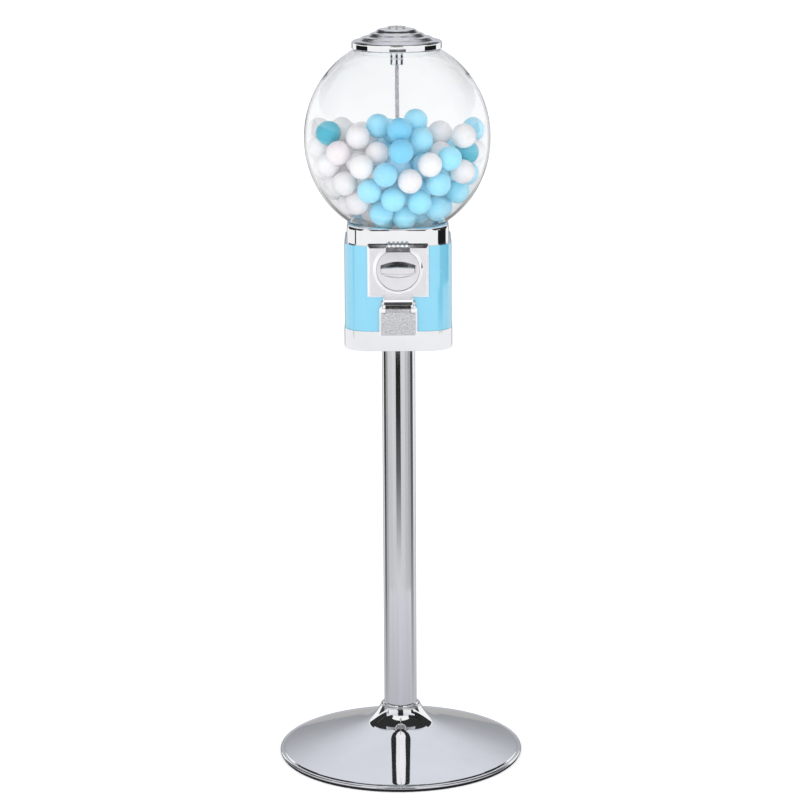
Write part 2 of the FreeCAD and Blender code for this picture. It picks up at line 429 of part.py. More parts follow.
BALLS_WHITE = [
    (38.99, -86.96, 780.49), (14.97, -88.27, 760.96), (78.83, -46.65, 766.47), (80.31, -51.77, 810.51),
    (-48.62, -50.66, 729.48), (-43.02, -84.47, 778.04), (-47.49, -63.68, 811.23), (-71.04, -66.00, 792.33),
    (-96.94, 0.74, 811.95), (-68.42, -18.82, 815.21), (-77.17, -31.73, 748.04), (-64.11, -58.35, 754.33),
    (-24.34, -64.69, 791.39), (-94.42, 15.11, 782.20), (-30.86, 2.31, 706.90), (52.47, -20.70, 810.56),
    (-47.72, -32.61, 755.03), (-36.41, 40.46, 757.78), (-61.83, 25.51, 775.43), (-78.11, -2.67, 739.57),
    (-50.95, 35.98, 721.62), (-94.27, -23.06, 793.42), (-21.55, -50.79, 759.10), (45.63, -8.27, 744.16),
    (-38.52, -33.54, 802.56), (-69.43, 3.27, 794.53), (-59.20, -5.75, 763.03), (57.72, 13.01, 761.99),
    (-59.48, -23.16, 722.95), (-90.67, -11.24, 765.78), (52.98, -40.53, 787.68), (-71.18, 32.02, 803.86),
    (2.40, -17.49, 729.99), (-61.33, 75.47, 796.61), (-48.35, -50.86, 779.19), (31.94, 14.11, 706.90),
    (-43.05, -4.01, 807.50), (-62.51, -25.00, 786.17), (-71.07, 50.24, 755.06), (-11.41, 91.64, 768.81),
    (-9.71, 51.45, 748.65), (89.75, 32.06, 780.49), (-83.01, -44.27, 774.97), (-83.90, 22.81, 754.87),
    (-79.91, 53.04, 783.88), (95.89, 2.61, 783.98), (-47.97, 60.86, 738.62),
]
out("gumballs_blue", [Part.makeSphere(BALL_R, V(*c)) for c in BALLS_BLUE])
out("gumballs_white", [Part.makeSphere(BALL_R, V(*c)) for c in BALLS_WHITE])
print("done")
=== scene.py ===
import json
import math

import bmesh
import bpy
import numpy as np
from mathutils import Matrix, Vector, noise

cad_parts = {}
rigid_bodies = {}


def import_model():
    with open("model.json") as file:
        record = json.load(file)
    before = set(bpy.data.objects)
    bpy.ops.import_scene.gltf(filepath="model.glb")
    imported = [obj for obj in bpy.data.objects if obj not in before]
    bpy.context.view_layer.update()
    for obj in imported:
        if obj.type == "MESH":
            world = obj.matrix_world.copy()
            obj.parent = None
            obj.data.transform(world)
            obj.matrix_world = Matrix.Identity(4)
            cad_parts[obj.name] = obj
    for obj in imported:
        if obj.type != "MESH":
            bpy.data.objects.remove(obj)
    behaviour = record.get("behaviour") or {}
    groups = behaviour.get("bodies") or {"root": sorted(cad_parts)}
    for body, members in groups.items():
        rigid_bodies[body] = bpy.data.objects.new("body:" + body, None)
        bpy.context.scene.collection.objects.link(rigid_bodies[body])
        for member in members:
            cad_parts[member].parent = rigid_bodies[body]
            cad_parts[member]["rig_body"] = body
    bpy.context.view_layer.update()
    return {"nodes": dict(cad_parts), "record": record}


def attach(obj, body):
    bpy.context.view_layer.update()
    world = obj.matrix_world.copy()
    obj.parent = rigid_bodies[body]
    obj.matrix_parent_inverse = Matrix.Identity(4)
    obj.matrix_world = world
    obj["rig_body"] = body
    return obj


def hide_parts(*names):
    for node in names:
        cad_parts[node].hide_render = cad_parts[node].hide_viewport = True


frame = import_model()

NODES = frame["nodes"]
MM = 0.001
SCENE = bpy.context.scene


# ------------------------------------------------------------------ material helpers
class Mat:
    """A node material: a Principled shader with textures in object space."""

    def __init__(self, name, base, rough, metal=0.0, **sockets):
        self.m = bpy.data.materials.new(name)
        self.m.use_nodes = True
        self.t = self.m.node_tree
        self.b = next(n for n in self.t.nodes if n.type == "BSDF_PRINCIPLED")
        self.tc = self.t.nodes.new("ShaderNodeTexCoord")
        self.b.inputs["Base Color"].default_value = (*base, 1.0)
        self.b.inputs["Roughness"].default_value = rough
        self.b.inputs["Metallic"].default_value = metal
        for k, v in sockets.items():
            self.b.inputs[k.replace("_", " ")].default_value = v

    def node(self, kind, **props):
        n = self.t.nodes.new(kind)
        for k, v in props.items():
            setattr(n, k, v)
        return n

    def link(self, a, b):
        self.t.links.new(a, b)

    def vec(self, stretch=None, rot=None):
        if stretch is None and rot is None:
            return self.tc.outputs["Object"]
        mp = self.node("ShaderNodeMapping")
        if stretch is not None:
            mp.inputs["Scale"].default_value = stretch
        if rot is not None:
            mp.inputs["Rotation"].default_value = rot
        self.link(self.tc.outputs["Object"], mp.inputs["Vector"])
        return mp.outputs["Vector"]

    def noise(self, scale, detail=4.0, rough=0.55, stretch=None, distort=0.0):
        n = self.node("ShaderNodeTexNoise")
        n.inputs["Scale"].default_value = scale
        n.inputs["Detail"].default_value = detail
        n.inputs["Roughness"].default_value = rough
        n.inputs["Distortion"].default_value = distort
        self.link(self.vec(stretch), n.inputs["Vector"])
        return n.outputs["Fac"]

    def voronoi(self, scale, feature="SMOOTH_F1", stretch=None):
        n = self.node("ShaderNodeTexVoronoi", feature=feature)
        n.inputs["Scale"].default_value = scale
        self.link(self.vec(stretch), n.inputs["Vector"])
        return n.outputs["Distance"]

    def span(self, fac, lo, hi, f0=0.3, f1=0.7):
        n = self.node("ShaderNodeMapRange")
        n.inputs["From Min"].default_value = f0
        n.inputs["From Max"].default_value = f1
        n.inputs["To Min"].default_value = lo
        n.inputs["To Max"].default_value = hi
        self.link(fac, n.inputs["Value"])
        return n.outputs["Result"]

    def ramp(self, fac, stops):
        n = self.node("ShaderNodeValToRGB")
        els = n.color_ramp.elements
        while len(els) > 1:
            els.remove(els[-1])
        for i, (p, c) in enumerate(stops):
            e = els[0] if i == 0 else els.new(p)
            e.position = p
            e.color = (*c, 1.0)
        self.link(fac, n.inputs["Fac"])
        return n.outputs["Color"]

    def colour(self, out):
        self.link(out, self.b.inputs["Base Color"])
        return self

    def rough(self, out):
        self.link(out, self.b.inputs["Roughness"])
        return self

    def bump(self, *layers):
        """layers: (height output, strength, distance in mm)"""
        last = None
        for h, strength, dist in layers:
            n = self.node("ShaderNodeBump")
            n.inputs["Strength"].default_value = strength
            n.inputs["Distance"].default_value = dist * MM
            self.link(h, n.inputs["Height"])
            if last is not None:
                self.link(last, n.inputs["Normal"])
            last = n.outputs["Normal"]
        self.link(last, self.b.inputs["Normal"])
        return self


def scaled(c, k):
    return tuple(min(1.0, x * k) for x in c)


def tint_ramp(m, fac, c, k0, k1):
    return m.ramp(fac, [(0.3, scaled(c, k0)), (0.7, scaled(c, k1))])


def make_materials():
    M = {}
    # mirror chrome: faint smears in the gloss, hairline polishing marks
    c = (0.90, 0.905, 0.92)
    m = Mat("chrome_plate", c, 0.03, 1.0)
    m.colour(tint_ramp(m, m.noise(22, 3), c, 0.965, 1.02))
    m.rough(m.span(m.noise(55, 5, 0.65, stretch=(1, 1, 0.35)), 0.012, 0.05))
    m.bump((m.noise(1500, 2, 0.5, stretch=(1, 1, 0.04)), 0.010, 0.05))
    M["chrome"] = m.m
    # drawn tube: the same plate, softened by long draw marks
    m = Mat("chrome_tube", c, 0.06, 1.0)
    m.colour(tint_ramp(m, m.noise(160, 4, 0.6, stretch=(1, 1, 0.03)), c, 0.93, 1.04))
    m.rough(m.span(m.noise(70, 4, 0.6, stretch=(1, 1, 0.12)), 0.045, 0.085))
    m.bump((m.noise(900, 2, 0.5, stretch=(1, 1, 0.02)), 0.012, 0.05))
    M["chrome_tube"] = m.m
    # cast and plated face parts: soft gloss, fine grain
    c = (0.80, 0.79, 0.815)
    m = Mat("satin_plate", c, 0.12, 1.0)
    m.colour(tint_ramp(m, m.noise(90, 4), c, 0.965, 1.02))
    m.rough(m.span(m.noise(320, 4, 0.6), 0.09, 0.16))
    m.bump((m.noise(1500, 3, 0.55), 0.04, 0.05), (m.noise(120, 2), 0.03, 0.15))
    M["satin_chrome"] = m.m
    # soft bright plate: ring round the dial, outlet frame, ribs of the coin block
    c = (0.93, 0.925, 0.945)
    m = Mat("bright_plate", c, 0.3, 0.45)
    m.colour(tint_ramp(m, m.noise(110, 4), c, 0.965, 1.02))
    m.rough(m.span(m.noise(340, 4, 0.6), 0.38, 0.46))
    m.bump((m.noise(1500, 3, 0.55), 0.03, 0.05))
    M["bright_plate"] = m.m
    # darker copy of the bright plate for the sloped top of the outlet's hood: painted shade
    c = (0.75, 0.745, 0.765)
    m = Mat("painted_shade_hood_top", c, 0.4, 0.5)
    m.colour(tint_ramp(m, m.noise(120, 4), c, 0.96, 1.02))
    m.rough(m.span(m.noise(340, 4, 0.6), 0.36, 0.46))
    m.bump((m.noise(1500, 3, 0.55), 0.03, 0.05))
    M["painted_shade_hood_top"] = m.m
    # dark grey plate: painted shade on the front of the coin block, painted dark reflection on the upper face of the
    # grip
    c = (0.21, 0.21, 0.22)
    m = Mat("painted_shade_grey", c, 0.3, 1.0)
    m.colour(m.ramp(m.noise(420, 5, 0.65, stretch=(0.35, 1, 1)), [(0.3, (0.13, 0.13, 0.14)), (0.5, c), (0.72, (0.40, 0.40, 0.42))]))
    m.rough(m.span(m.noise(420, 4), 0.22, 0.38))
    m.bump((m.noise(1400, 3, 0.5), 0.06, 0.06))
    M["painted_shade_grey"] = m.m
    # spun lid: fine turning marks, softer gloss than the mirror parts
    c = (0.87, 0.872, 0.885)
    m = Mat("spun_plate", c, 0.22, 1.0)
    m.colour(m.ramp(m.noise(900, 5, 0.7), [(0.25, scaled(c, 0.80)), (0.5, c), (0.75, scaled(c, 1.08))]))
    m.rough(m.span(m.noise(500, 4, 0.6), 0.16, 0.28))
    m.bump((m.noise(1500, 3, 0.6), 0.10, 0.06), (m.noise(1000, 2, 0.5, stretch=(0.05, 0.05, 6.0)), 0.05, 0.06))
    M["spun_plate"] = m.m
    # worn dark plate: centre rod
    c = (0.50, 0.505, 0.52)
    m = Mat("dark_plate", c, 0.25, 1.0)
    m.colour(m.ramp(m.noise(260, 5, 0.6), [(0.3, (0.36, 0.365, 0.38)), (0.55, (0.50, 0.505, 0.52)), (0.75, (0.60, 0.60, 0.61))]))
    m.rough(m.span(m.noise(420, 4), 0.18, 0.34))
    m.bump((m.noise(1400, 3, 0.5), 0.08, 0.06))
    M["dark_plate"] = m.m
    # near-black painted shade: underside of the outlet's hood, the pointer notch in the dial ring, grooves and
    # underside of the coin block
    c = (0.060, 0.060, 0.064)
    m = Mat("painted_shade_dark", c, 0.5, 0.2)
    m.colour(tint_ramp(m, m.noise(300, 4), c, 0.7, 1.5))
    m.rough(m.span(m.noise(420, 4), 0.4, 0.65))
    m.bump((m.noise(1200, 4), 0.15, 0.08))
    M["painted_shade_dark"] = m.m
    # hammered plate: dimples from the mesh, grain from the shader
    c = (0.73, 0.73, 0.75)
    m = Mat("hammered_plate", c, 0.3, 0.8)
    m.colour(tint_ramp(m, m.noise(420, 4), c, 0.84, 1.06))
    m.rough(m.span(m.noise(600, 4), 0.22, 0.40))
    m.bump((m.voronoi(620), 0.25, 0.18), (m.noise(2200, 3), 0.08, 0.06))
    M["hammered_metal"] = m.m
    # glossy enamel over sheet steel: orange peel, faint mottling
    c = (0.165, 0.505, 0.680)
    m = Mat("blue_enamel", c, 0.30, 0.0, Coat_Weight=1.0, Coat_Roughness=0.05, Coat_IOR=1.85)
    m.colour(tint_ramp(m, m.noise(30, 3, 0.5), c, 0.985, 1.012))
    m.rough(m.span(m.noise(240, 4), 0.18, 0.28))
    m.bump((m.noise(620, 2, 0.4), 0.02, 0.06), (m.noise(40, 2), 0.012, 0.3))
    M["blue_paint"] = m.m
    # clear moulded globe: slow waves in the wall, faint haze
    m = Mat("clear_globe", (0.985, 0.99, 0.992), 0.0, 0.0, Transmission_Weight=1.0, IOR=1.49)
    m.b.inputs["Specular Tint"].default_value = (0.35, 0.35, 0.35, 1.0)
    m.colour(tint_ramp(m, m.noise(14, 2), (0.985, 0.988, 0.992), 0.99, 1.01))
    m.rough(m.span(m.noise(60, 5, 0.7), 0.0, 0.018))
    m.bump((m.noise(26, 1.5, 0.4), 0.05, 0.6))
    M["clear_plastic"] = m.m
    # rubber
    c = (0.022, 0.022, 0.024)
    m = Mat("black_rubber", c, 0.6)
    m.colour(tint_ramp(m, m.noise(300, 4), c, 0.7, 1.5))
    m.rough(m.span(m.noise(420, 4), 0.5, 0.72))
    m.bump((m.noise(1800, 4), 0.2, 0.08))
    M["black_rubber"] = m.m
    # rough iron casting, blackened
    c = (0.075, 0.076, 0.080)
    m = Mat("black_casting", c, 0.68, 0.35)
    m.colour(tint_ramp(m, m.noise(180, 6, 0.65), c, 0.6, 1.7))
    m.rough(m.span(m.noise(260, 5), 0.5, 0.85))
    m.bump((m.noise(520, 5, 0.65), 0.5, 0.3), (m.voronoi(260), 0.2, 0.3))
    M["cast_iron"] = m.m
    # zinc-plated steel: slight yellow and blue bloom
    c = (0.66, 0.66, 0.645)
    m = Mat("zinc_steel", c, 0.32, 1.0)
    m.colour(m.ramp(m.noise(140, 5), [(0.3, (0.60, 0.61, 0.63)), (0.5, (0.68, 0.675, 0.655)), (0.72, (0.70, 0.67, 0.58))]))
    m.rough(m.span(m.noise(420, 5), 0.24, 0.42))
    m.bump((m.noise(1600, 3, 0.5, stretch=(1, 1, 0.15)), 0.12, 0.06))
    M["steel"] = m.m
    # nickelled brass of the lock
    c = (0.74, 0.725, 0.69)
    m = Mat("nickel_brass", c, 0.2, 1.0)
    m.colour(m.ramp(m.noise(500, 5), [(0.3, (0.66, 0.63, 0.57)), (0.7, (0.80, 0.79, 0.77))]))
    m.rough(m.span(m.noise(800, 4), 0.12, 0.3))
    m.bump((m.noise(2600, 3, 0.5), 0.12, 0.05))
    M["lock_metal"] = m.m
    # moulded plastics
    c = (0.80, 0.80, 0.785)
    m = Mat("white_moulding", c, 0.42, 0.0, IOR=1.5)
    m.colour(tint_ramp(m, m.noise(60, 4), c, 0.96, 1.03))
    m.rough(m.span(m.noise(500, 4), 0.34, 0.5))
    m.bump((m.noise(2400, 2), 0.08, 0.05))
    M["white_plastic"] = m.m
    c = (0.10, 0.10, 0.105)
    m = Mat("gear_moulding", c, 0.4, 0.0, IOR=1.52)
    m.colour(tint_ramp(m, m.noise(70, 4), c, 0.94, 1.05))
    m.rough(m.span(m.noise(500, 4), 0.32, 0.5))
    m.bump((m.noise(2000, 2), 0.08, 0.06))
    M["gear_plastic"] = m.m
    # sugar-shell candy: each ball's own shade is in the mesh, mottled shell over it
    for slot in ("candy_blue", "candy_white"):
        base = (0.30, 0.74, 0.94) if slot == "candy_blue" else (0.90, 0.875, 0.875)
        m = Mat(slot, base, 0.34, 0.0, Coat_Weight=0.22, Coat_Roughness=0.16, Subsurface_Weight=0.85, Subsurface_Scale=0.012)
        m.b.inputs["Subsurface Radius"].default_value = (1.0, 0.9, 0.9)
        at = m.node("ShaderNodeAttribute", attribute_name="shade")
        mix = m.node("ShaderNodeMix", data_type="RGBA", blend_type="MULTIPLY")
        mix.inputs["Factor"].default_value = 1.0
        m.link(at.outputs["Color"], mix.inputs["A"])
        m.link(m.ramp(m.noise(230, 4, 0.6), [(0.3, (0.93, 0.945, 0.955)), (0.7, (1.0, 1.0, 1.0))]), mix.inputs["B"])
        m.colour(mix.outputs["Result"])
        m.rough(m.span(m.noise(420, 4), 0.24, 0.42))
        m.bump((m.noise(620, 3, 0.55), 0.06, 0.12))
        M[slot] = m.m
    return M


M = make_materials()
SLOT_OF = {}
for row in frame["record"]["subparts"]:
    SLOT_OF[row["node"]] = row["material_slot"]


# ------------------------------------------------------------------ mesh helpers
def body_of(node):
    return NODES[node]["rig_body"]


def place(name, me, node, mat=None, *more):
    """Give a new mesh to the body of the node it stands for."""
    o = bpy.data.objects.new(name, me)
    SCENE.collection.objects.link(o)
    slot = SLOT_OF[node]
    me.materials.clear()
    me.materials.append(mat or M[slot])
    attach(o, body_of(node))
    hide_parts(node, *more)
    return o


def all_smooth(me):
    me.polygons.foreach_set("use_smooth", [True] * len(me.polygons))


def spline(pts, n):
    """Natural cubic through (r, z) points, n samples, by chord length."""
    p = np.array(pts, float)
    d = np.sqrt((np.diff(p, axis=0) ** 2).sum(1))
    t = np.concatenate([[0], np.cumsum(d)])
    k = len(p)
    h = np.diff(t)
    A = np.zeros((k, k))
    B = np.zeros((k, 2))
    A[0, 0] = A[-1, -1] = 1
    for i in range(1, k - 1):
        A[i, i - 1], A[i, i], A[i, i + 1] = h[i - 1], 2 * (h[i - 1] + h[i]), h[i]
        B[i] = 6 * ((p[i + 1] - p[i]) / h[i] - (p[i] - p[i - 1]) / h[i - 1])
    m = np.linalg.solve(A, B)
    out = []
    for s in np.linspace(0, t[-1], n):
        i = min(k - 2, max(0, int(np.searchsorted(t, s) - 1)))
        a, b = t[i + 1] - s, s - t[i]
        v = (m[i] * a ** 3 + m[i + 1] * b ** 3) / (6 * h[i]) + (p[i] / h[i] - m[i] * h[i] / 6) * a + (p[i + 1] / h[i] - m[i + 1] * h[i] / 6) * b
        out.append(tuple(v))
    return out


def rounded(pts, r, n=4):
    """Round the corners of a closed outline; r is one radius or one per corner."""
    k = len(pts)
    rs = r if isinstance(r, (list, tuple)) else [r] * k
    out = []
    for i in range(k):
        a, b, c = (Vector(pts[j % k]).to_2d() if len(pts[0]) == 2 else Vector(pts[j % k]) for j in (i - 1, i, i + 1))
        u, v = (a - b), (c - b)
        lu, lv = u.length, v.length
        u.normalize(); v.normalize()
        ang = math.acos(max(-1, min(1, u.dot(v))))
        if rs[i] <= 0 or ang > math.radians(172):
            out.append(tuple(b))
            continue
        cut = min(rs[i] / math.tan(ang / 2), 0.45 * lu, 0.45 * lv)
        p0, p1 = b + u * cut, b + v * cut
        if lu > 3.0 * cut:
            out.append(tuple(b + u * (cut * 1.25)))
        for j in range(n + 1):
            t = j / n
            q = p0 * (1 - t) ** 2 + b * 2 * t * (1 - t) + p1 * t ** 2
            out.append(tuple(q))
        if lv > 3.0 * cut:
            out.append(tuple(b + v * (cut * 1.25)))
    return out


def lathe_mesh(name, prof, seg=192, wobble=None):
    """Turn a closed (r, z) outline in mm about Z. wobble(angle, r, z) may shift the radius."""
    k = len(prof)
    verts, faces = [], []
    for j in range(seg):
        a = 2 * math.pi * j / seg
        ca, sa = math.cos(a), math.sin(a)
        for r, z in prof:
            rr = r + (wobble(a, r, z) if wobble else 0.0)
            verts.append((rr * ca * MM, rr * sa * MM, z * MM))
    for j in range(seg):
        jn = (j + 1) % seg
        for i in range(k):
            i2 = (i + 1) % k
            faces.append((j * k + i, jn * k + i, jn * k + i2, j * k + i2))
    me = bpy.data.meshes.new(name)
    me.from_pydata(verts, [], faces)
    bm = bmesh.new()
    bm.from_mesh(me)
    bmesh.ops.recalc_face_normals(bm, faces=bm.faces)
    bm.to_mesh(me)
    bm.free()
    all_smooth(me)
    return me


def soften(node, width, segs=2, angle=28.0, name=None, mat=None, shift=None):
    """A copy of a CAD solid with its hard edges eased by width mm."""
    bm = bmesh.new()
    bm.from_mesh(NODES[node].data)
    bmesh.ops.remove_doubles(bm, verts=bm.verts, dist=2e-6)
    bmesh.ops.dissolve_limit(bm, angle_limit=math.radians(0.6), use_dissolve_boundaries=False, verts=bm.verts, edges=bm.edges, delimit=set())
    if shift:
        for v in bm.verts:
            v.co = Vector(shift(v.co / MM)) * MM
    hard = [e for e in bm.edges if len(e.link_faces) == 2 and e.calc_face_angle(0.0) > math.radians(angle)]
    bmesh.ops.bevel(bm, geom=hard, offset=width * MM, offset_type="OFFSET", segments=segs, profile=0.5, affect="EDGES", clamp_overlap=True)
    bmesh.ops.recalc_face_normals(bm, faces=bm.faces)
    me = bpy.data.meshes.new(name or node + "_skin")
    bm.to_mesh(me)
    bm.free()
    all_smooth(me)
    me.set_sharp_from_angle(angle=math.radians(50))
    o = place(name or node + "_skin", me, node, mat)
    wn = o.modifiers.new("even_normals", "WEIGHTED_NORMAL")
    wn.keep_sharp = True
    wn.weight = 60
    return o


# ------------------------------------------------------------------ stand
NECK_Z = 64.5
prof = spline([(152.6, 6.6), (151.9, 7.35), (150.8, 8.0), (148.8, 8.8), (144.0, 10.45), (135.0, 13.45), (120.0, 18.4), (100.0, 24.9), (80.0, 31.3), (65.0, 36.0), (55.0, 39.3), (47.0, 42.7), (40.0, 47.0), (32.5, 53.4), (28.4, 58.6), (25.8, NECK_Z - 1.5)], 130)
prof += [(25.72, NECK_Z - 0.9), (25.55, NECK_Z - 0.1), (25.2, NECK_Z + 0.33), (24.7, NECK_Z + 0.5), (24.2, NECK_Z + 0.33), (23.8, NECK_Z - 0.1), (23.63, NECK_Z - 0.9)]
prof += spline([(23.6, NECK_Z - 2.0), (26.3, 57.6), (30.7, 51.7), (38.5, 45.0), (45.8, 40.4), (54.2, 36.95), (64.3, 33.7), (79.3, 29.0), (99.3, 22.6), (119.3, 16.1), (134.3, 11.2), (143.2, 8.3), (147.6, 6.7), (149.2, 5.8), (150.0, 4.6)], 70)
prof += [(150.4, 3.3), (150.9, 2.4), (151.6, 1.7), (153.2, 1.6)]
for k in range(13):
    a = math.radians(-84 + 174 * k / 12)
    prof.append((154.05 + 2.59 * math.cos(a), 4.25 + 2.65 * math.sin(a)))
prof += [(153.6, 6.95), (153.25, 6.78), (152.95, 6.62)]
place("foot_dish", lathe_mesh("foot_dish", prof, 288), "base_dish")
place("neck_collar", lathe_mesh("neck_collar", rounded([(21.06, 60.1), (23.4, 60.1), (23.4, 66.2), (22.9, 67.4), (22.1, 67.8), (21.06, 67.2)], [0.05, 0.1, 0.6, 0.5, 0.4, 0.1]), 128), "neck_ring")
place("pole", lathe_mesh("pole", rounded([(19.5, 24.1)] + [(21.0, z) for z in (24.1, 120, 240, 360, 480, 545.7)] + [(19.5, 545.7)], [0.2, 0.4, 0, 0, 0, 0, 0.4, 0.2]), 160), "pole_tube", M["chrome_tube"])

# ------------------------------------------------------------------ head casing
for n, w in (("body_shell", 0.3), ("lock_barrel", 0.2), ("lock_plug", 0.12)):
    soften(n, w)
# the collar's first bevel stands a little steeper, so that it looks out under the globe
soften("top_collar", 0.2, 2, angle=9.0, shift=lambda c: (c.x * 1.0105, c.y * 1.0105, c.z) if abs(c.z - 697.4) < 0.06 and max(abs(c.x), abs(c.y)) > 40 else c)
soften("plinth", 0.15, 2)


def line_faces(o, mat, test):
    """Give the faces that pass the test a second finish."""
    me = o.data
    me.materials.append(mat)
    for f in me.polygons:
        if test(f.center / MM, f.normal):
            f.material_index = 1


# the plate's side and lower bevels get the bright plate, brighter than its face: a painted highlight
line_faces(soften("coin_plate", 0.25, 3), M["bright_plate"], lambda c, n: -0.95 < n.y < -0.3 and (abs(n.x) > 0.3 or n.z < -0.3))
entry = soften("coin_entry", 0.2, mat=M["bright_plate"])
# front of the coin block: dark grey painted shade
line_faces(entry, M["painted_shade_grey"], lambda c, n: c.y < -78.1 and c.z < 677.6)
# its top and bottom grooves and its underside: near-black painted shade
entry.data.materials.append(M["painted_shade_dark"])
for f in entry.data.polygons:
    c = f.center / MM
    if c.y < -78.25 and (671.3 < c.z < 672.5 or 676.7 < c.z < 677.75) and f.normal.z < 0.8:
        f.material_index = 2
    if f.normal.z < -0.5 and c.z < 672.0:
        f.material_index = 2
# the pointer notch in the dial ring: near-black painted shade
line_faces(soften("dial_ring", 0.2, mat=M["bright_plate"]), M["painted_shade_dark"],
           lambda c, n: 28.0 < c.x < 33.0 and 650.2 < c.z < 657.6 and (c.y > -71.6 or abs(n.y) < 0.3) and not (n.x > 0.4 and n.y < -0.4))
outlet = soften("chute_frame", 0.3, mat=M["bright_plate"])
# underside of the hood: near-black painted shade
line_faces(outlet, M["painted_shade_dark"], lambda c, n: n.z < -0.35 and n.y < -0.35 and 603.6 < c.z < 608.8 and c.y < -71.0)
# sloped top of the hood: a darker copy of the plate, painted shade
outlet.data.materials.append(M["painted_shade_hood_top"])
for f in outlet.data.polygons:
    if f.normal.z > 0.3 and f.normal.y < -0.3 and 610.5 < f.center.z / MM < 617.5:
        f.material_index = 2

# ------------------------------------------------------------------ dial: dished disc and a rounded grip
DIAL = Vector((0.0, 0.0, 648.5))


def dial_mesh():
    verts, faces = [], []
    # disc, turned about the dial's axis: (radius, y)
    pr = [(4.1, -69.62), (26.1, -69.62), (26.35, -69.75), (26.48, -70.0), (26.48, -72.7), (26.35, -73.0), (26.05, -73.17), (25.6, -73.18), (25.1, -73.1)]
    pr += [(r, -71.9 - 1.2 * (r / 25.1) ** 2) for r in (24.2, 22.5, 20.0, 17.0, 14.0, 11.0, 8.0, 5.0, 2.5)]
    seg = 128
    for j in range(seg):
        a = 2 * math.pi * j / seg
        for r, y in pr:
            verts.append((r * math.cos(a), y, DIAL.z + r * math.sin(a)))
    k = len(pr)
    for j in range(seg):
        jn = (j + 1) % seg
        for i in range(k - 1):
            faces.append((j * k + i, j * k + i + 1, jn * k + i + 1, jn * k + i))
    faces.append(tuple(j * k + k - 1 for j in range(seg)))
    faces.append(tuple(j * k for j in range(seg))[::-1])
    # grip: crowned sections with blunt ends, from the disc to the face: (y, half width, crown, end)
    key = [(-71.2, 21.92, 10.75, 5.50), (-72.2, 21.88, 10.20, 5.35), (-74.1, 21.82, 9.15, 5.15), (-76.0, 21.72, 8.15, 4.95), (-77.7, 21.58, 7.20, 4.70), (-79.4, 21.36, 6.30, 4.40),
           (-80.6, 21.02, 5.60, 4.12), (-81.4, 20.66, 5.10, 3.86), (-81.9, 20.28, 4.72, 3.60), (-82.15, 19.75, 4.20, 3.20)]
    rows = key + [(-82.16 - 0.03 * (1 - q), 19.75 * q, 4.20 * q, 3.20 * q) for q in (0.9, 0.72, 0.5, 0.3, 0.12)]
    base = len(verts)
    outline = []
    nx, nc = 44, 7
    for j in range(nx + 1):
        outline.append(("t", -1 + 2 * j / nx))
    for j in range(1, nc + 1):
        outline.append(("r", 1 - 2 * j / (nc + 1)))
    for j in range(nx + 1):
        outline.append(("b", 1 - 2 * j / nx))
    for j in range(1, nc + 1):
        outline.append(("l", -1 + 2 * j / (nc + 1)))
    seg = len(outline)
    for y, hx, zc, ze in rows:
        cut = 0.10 * hx * min(1.0, ze / 1.8)
        for side, u in outline:
            if side in "tb":
                sg = 1 if side == "t" else -1
                x = u * hx
                z = sg * (zc - (zc - ze) * u * u)
                d = hx - abs(x)
                if d < cut:                                    # round the blunt corners
                    z -= sg * min(ze * 0.8, 0.55 * cut * (1 - d / cut) ** 2)
            else:
                sg = 1 if side == "r" else -1
                e0 = ze - min(ze * 0.8, 0.55 * cut)
                x, z = sg * hx, u * e0
            verts.append((x, y, DIAL.z + z))
    for i in range(len(rows) - 1):
        for j in range(seg):
            jn = (j + 1) % seg
            a, b = base + i * seg, base + (i + 1) * seg
            faces.append((a + j, b + j, b + jn, a + jn))
    faces.append(tuple(base + (len(rows) - 1) * seg + j for j in range(seg)))
    faces.append(tuple(base + j for j in range(seg))[::-1])
    me = bpy.data.meshes.new("dial_grip")
    me.from_pydata([(x * MM, y * MM, z * MM) for x, y, z in verts], [], faces)
    bm = bmesh.new()
    bm.from_mesh(me)
    bmesh.ops.recalc_face_normals(bm, faces=bm.faces)
    bm.to_mesh(me)
    bm.free()
    all_smooth(me)
    me.set_sharp_from_angle(angle=math.radians(60))
    return me


grip = place("dial_grip", dial_mesh(), "dial_handle")
# underside of the grip: the bright plate as a painted highlight
line_faces(grip, M["bright_plate"], lambda c, n: c.y < -73.3 and n.z < -0.3)
# upper face of the grip: dark grey painted reflection
grip.data.materials.append(M["painted_shade_grey"])
for f in grip.data.polygons:
    if -81.3 < f.center.y / MM < -73.0 and f.normal.z > 0.5:
        f.material_index = 2


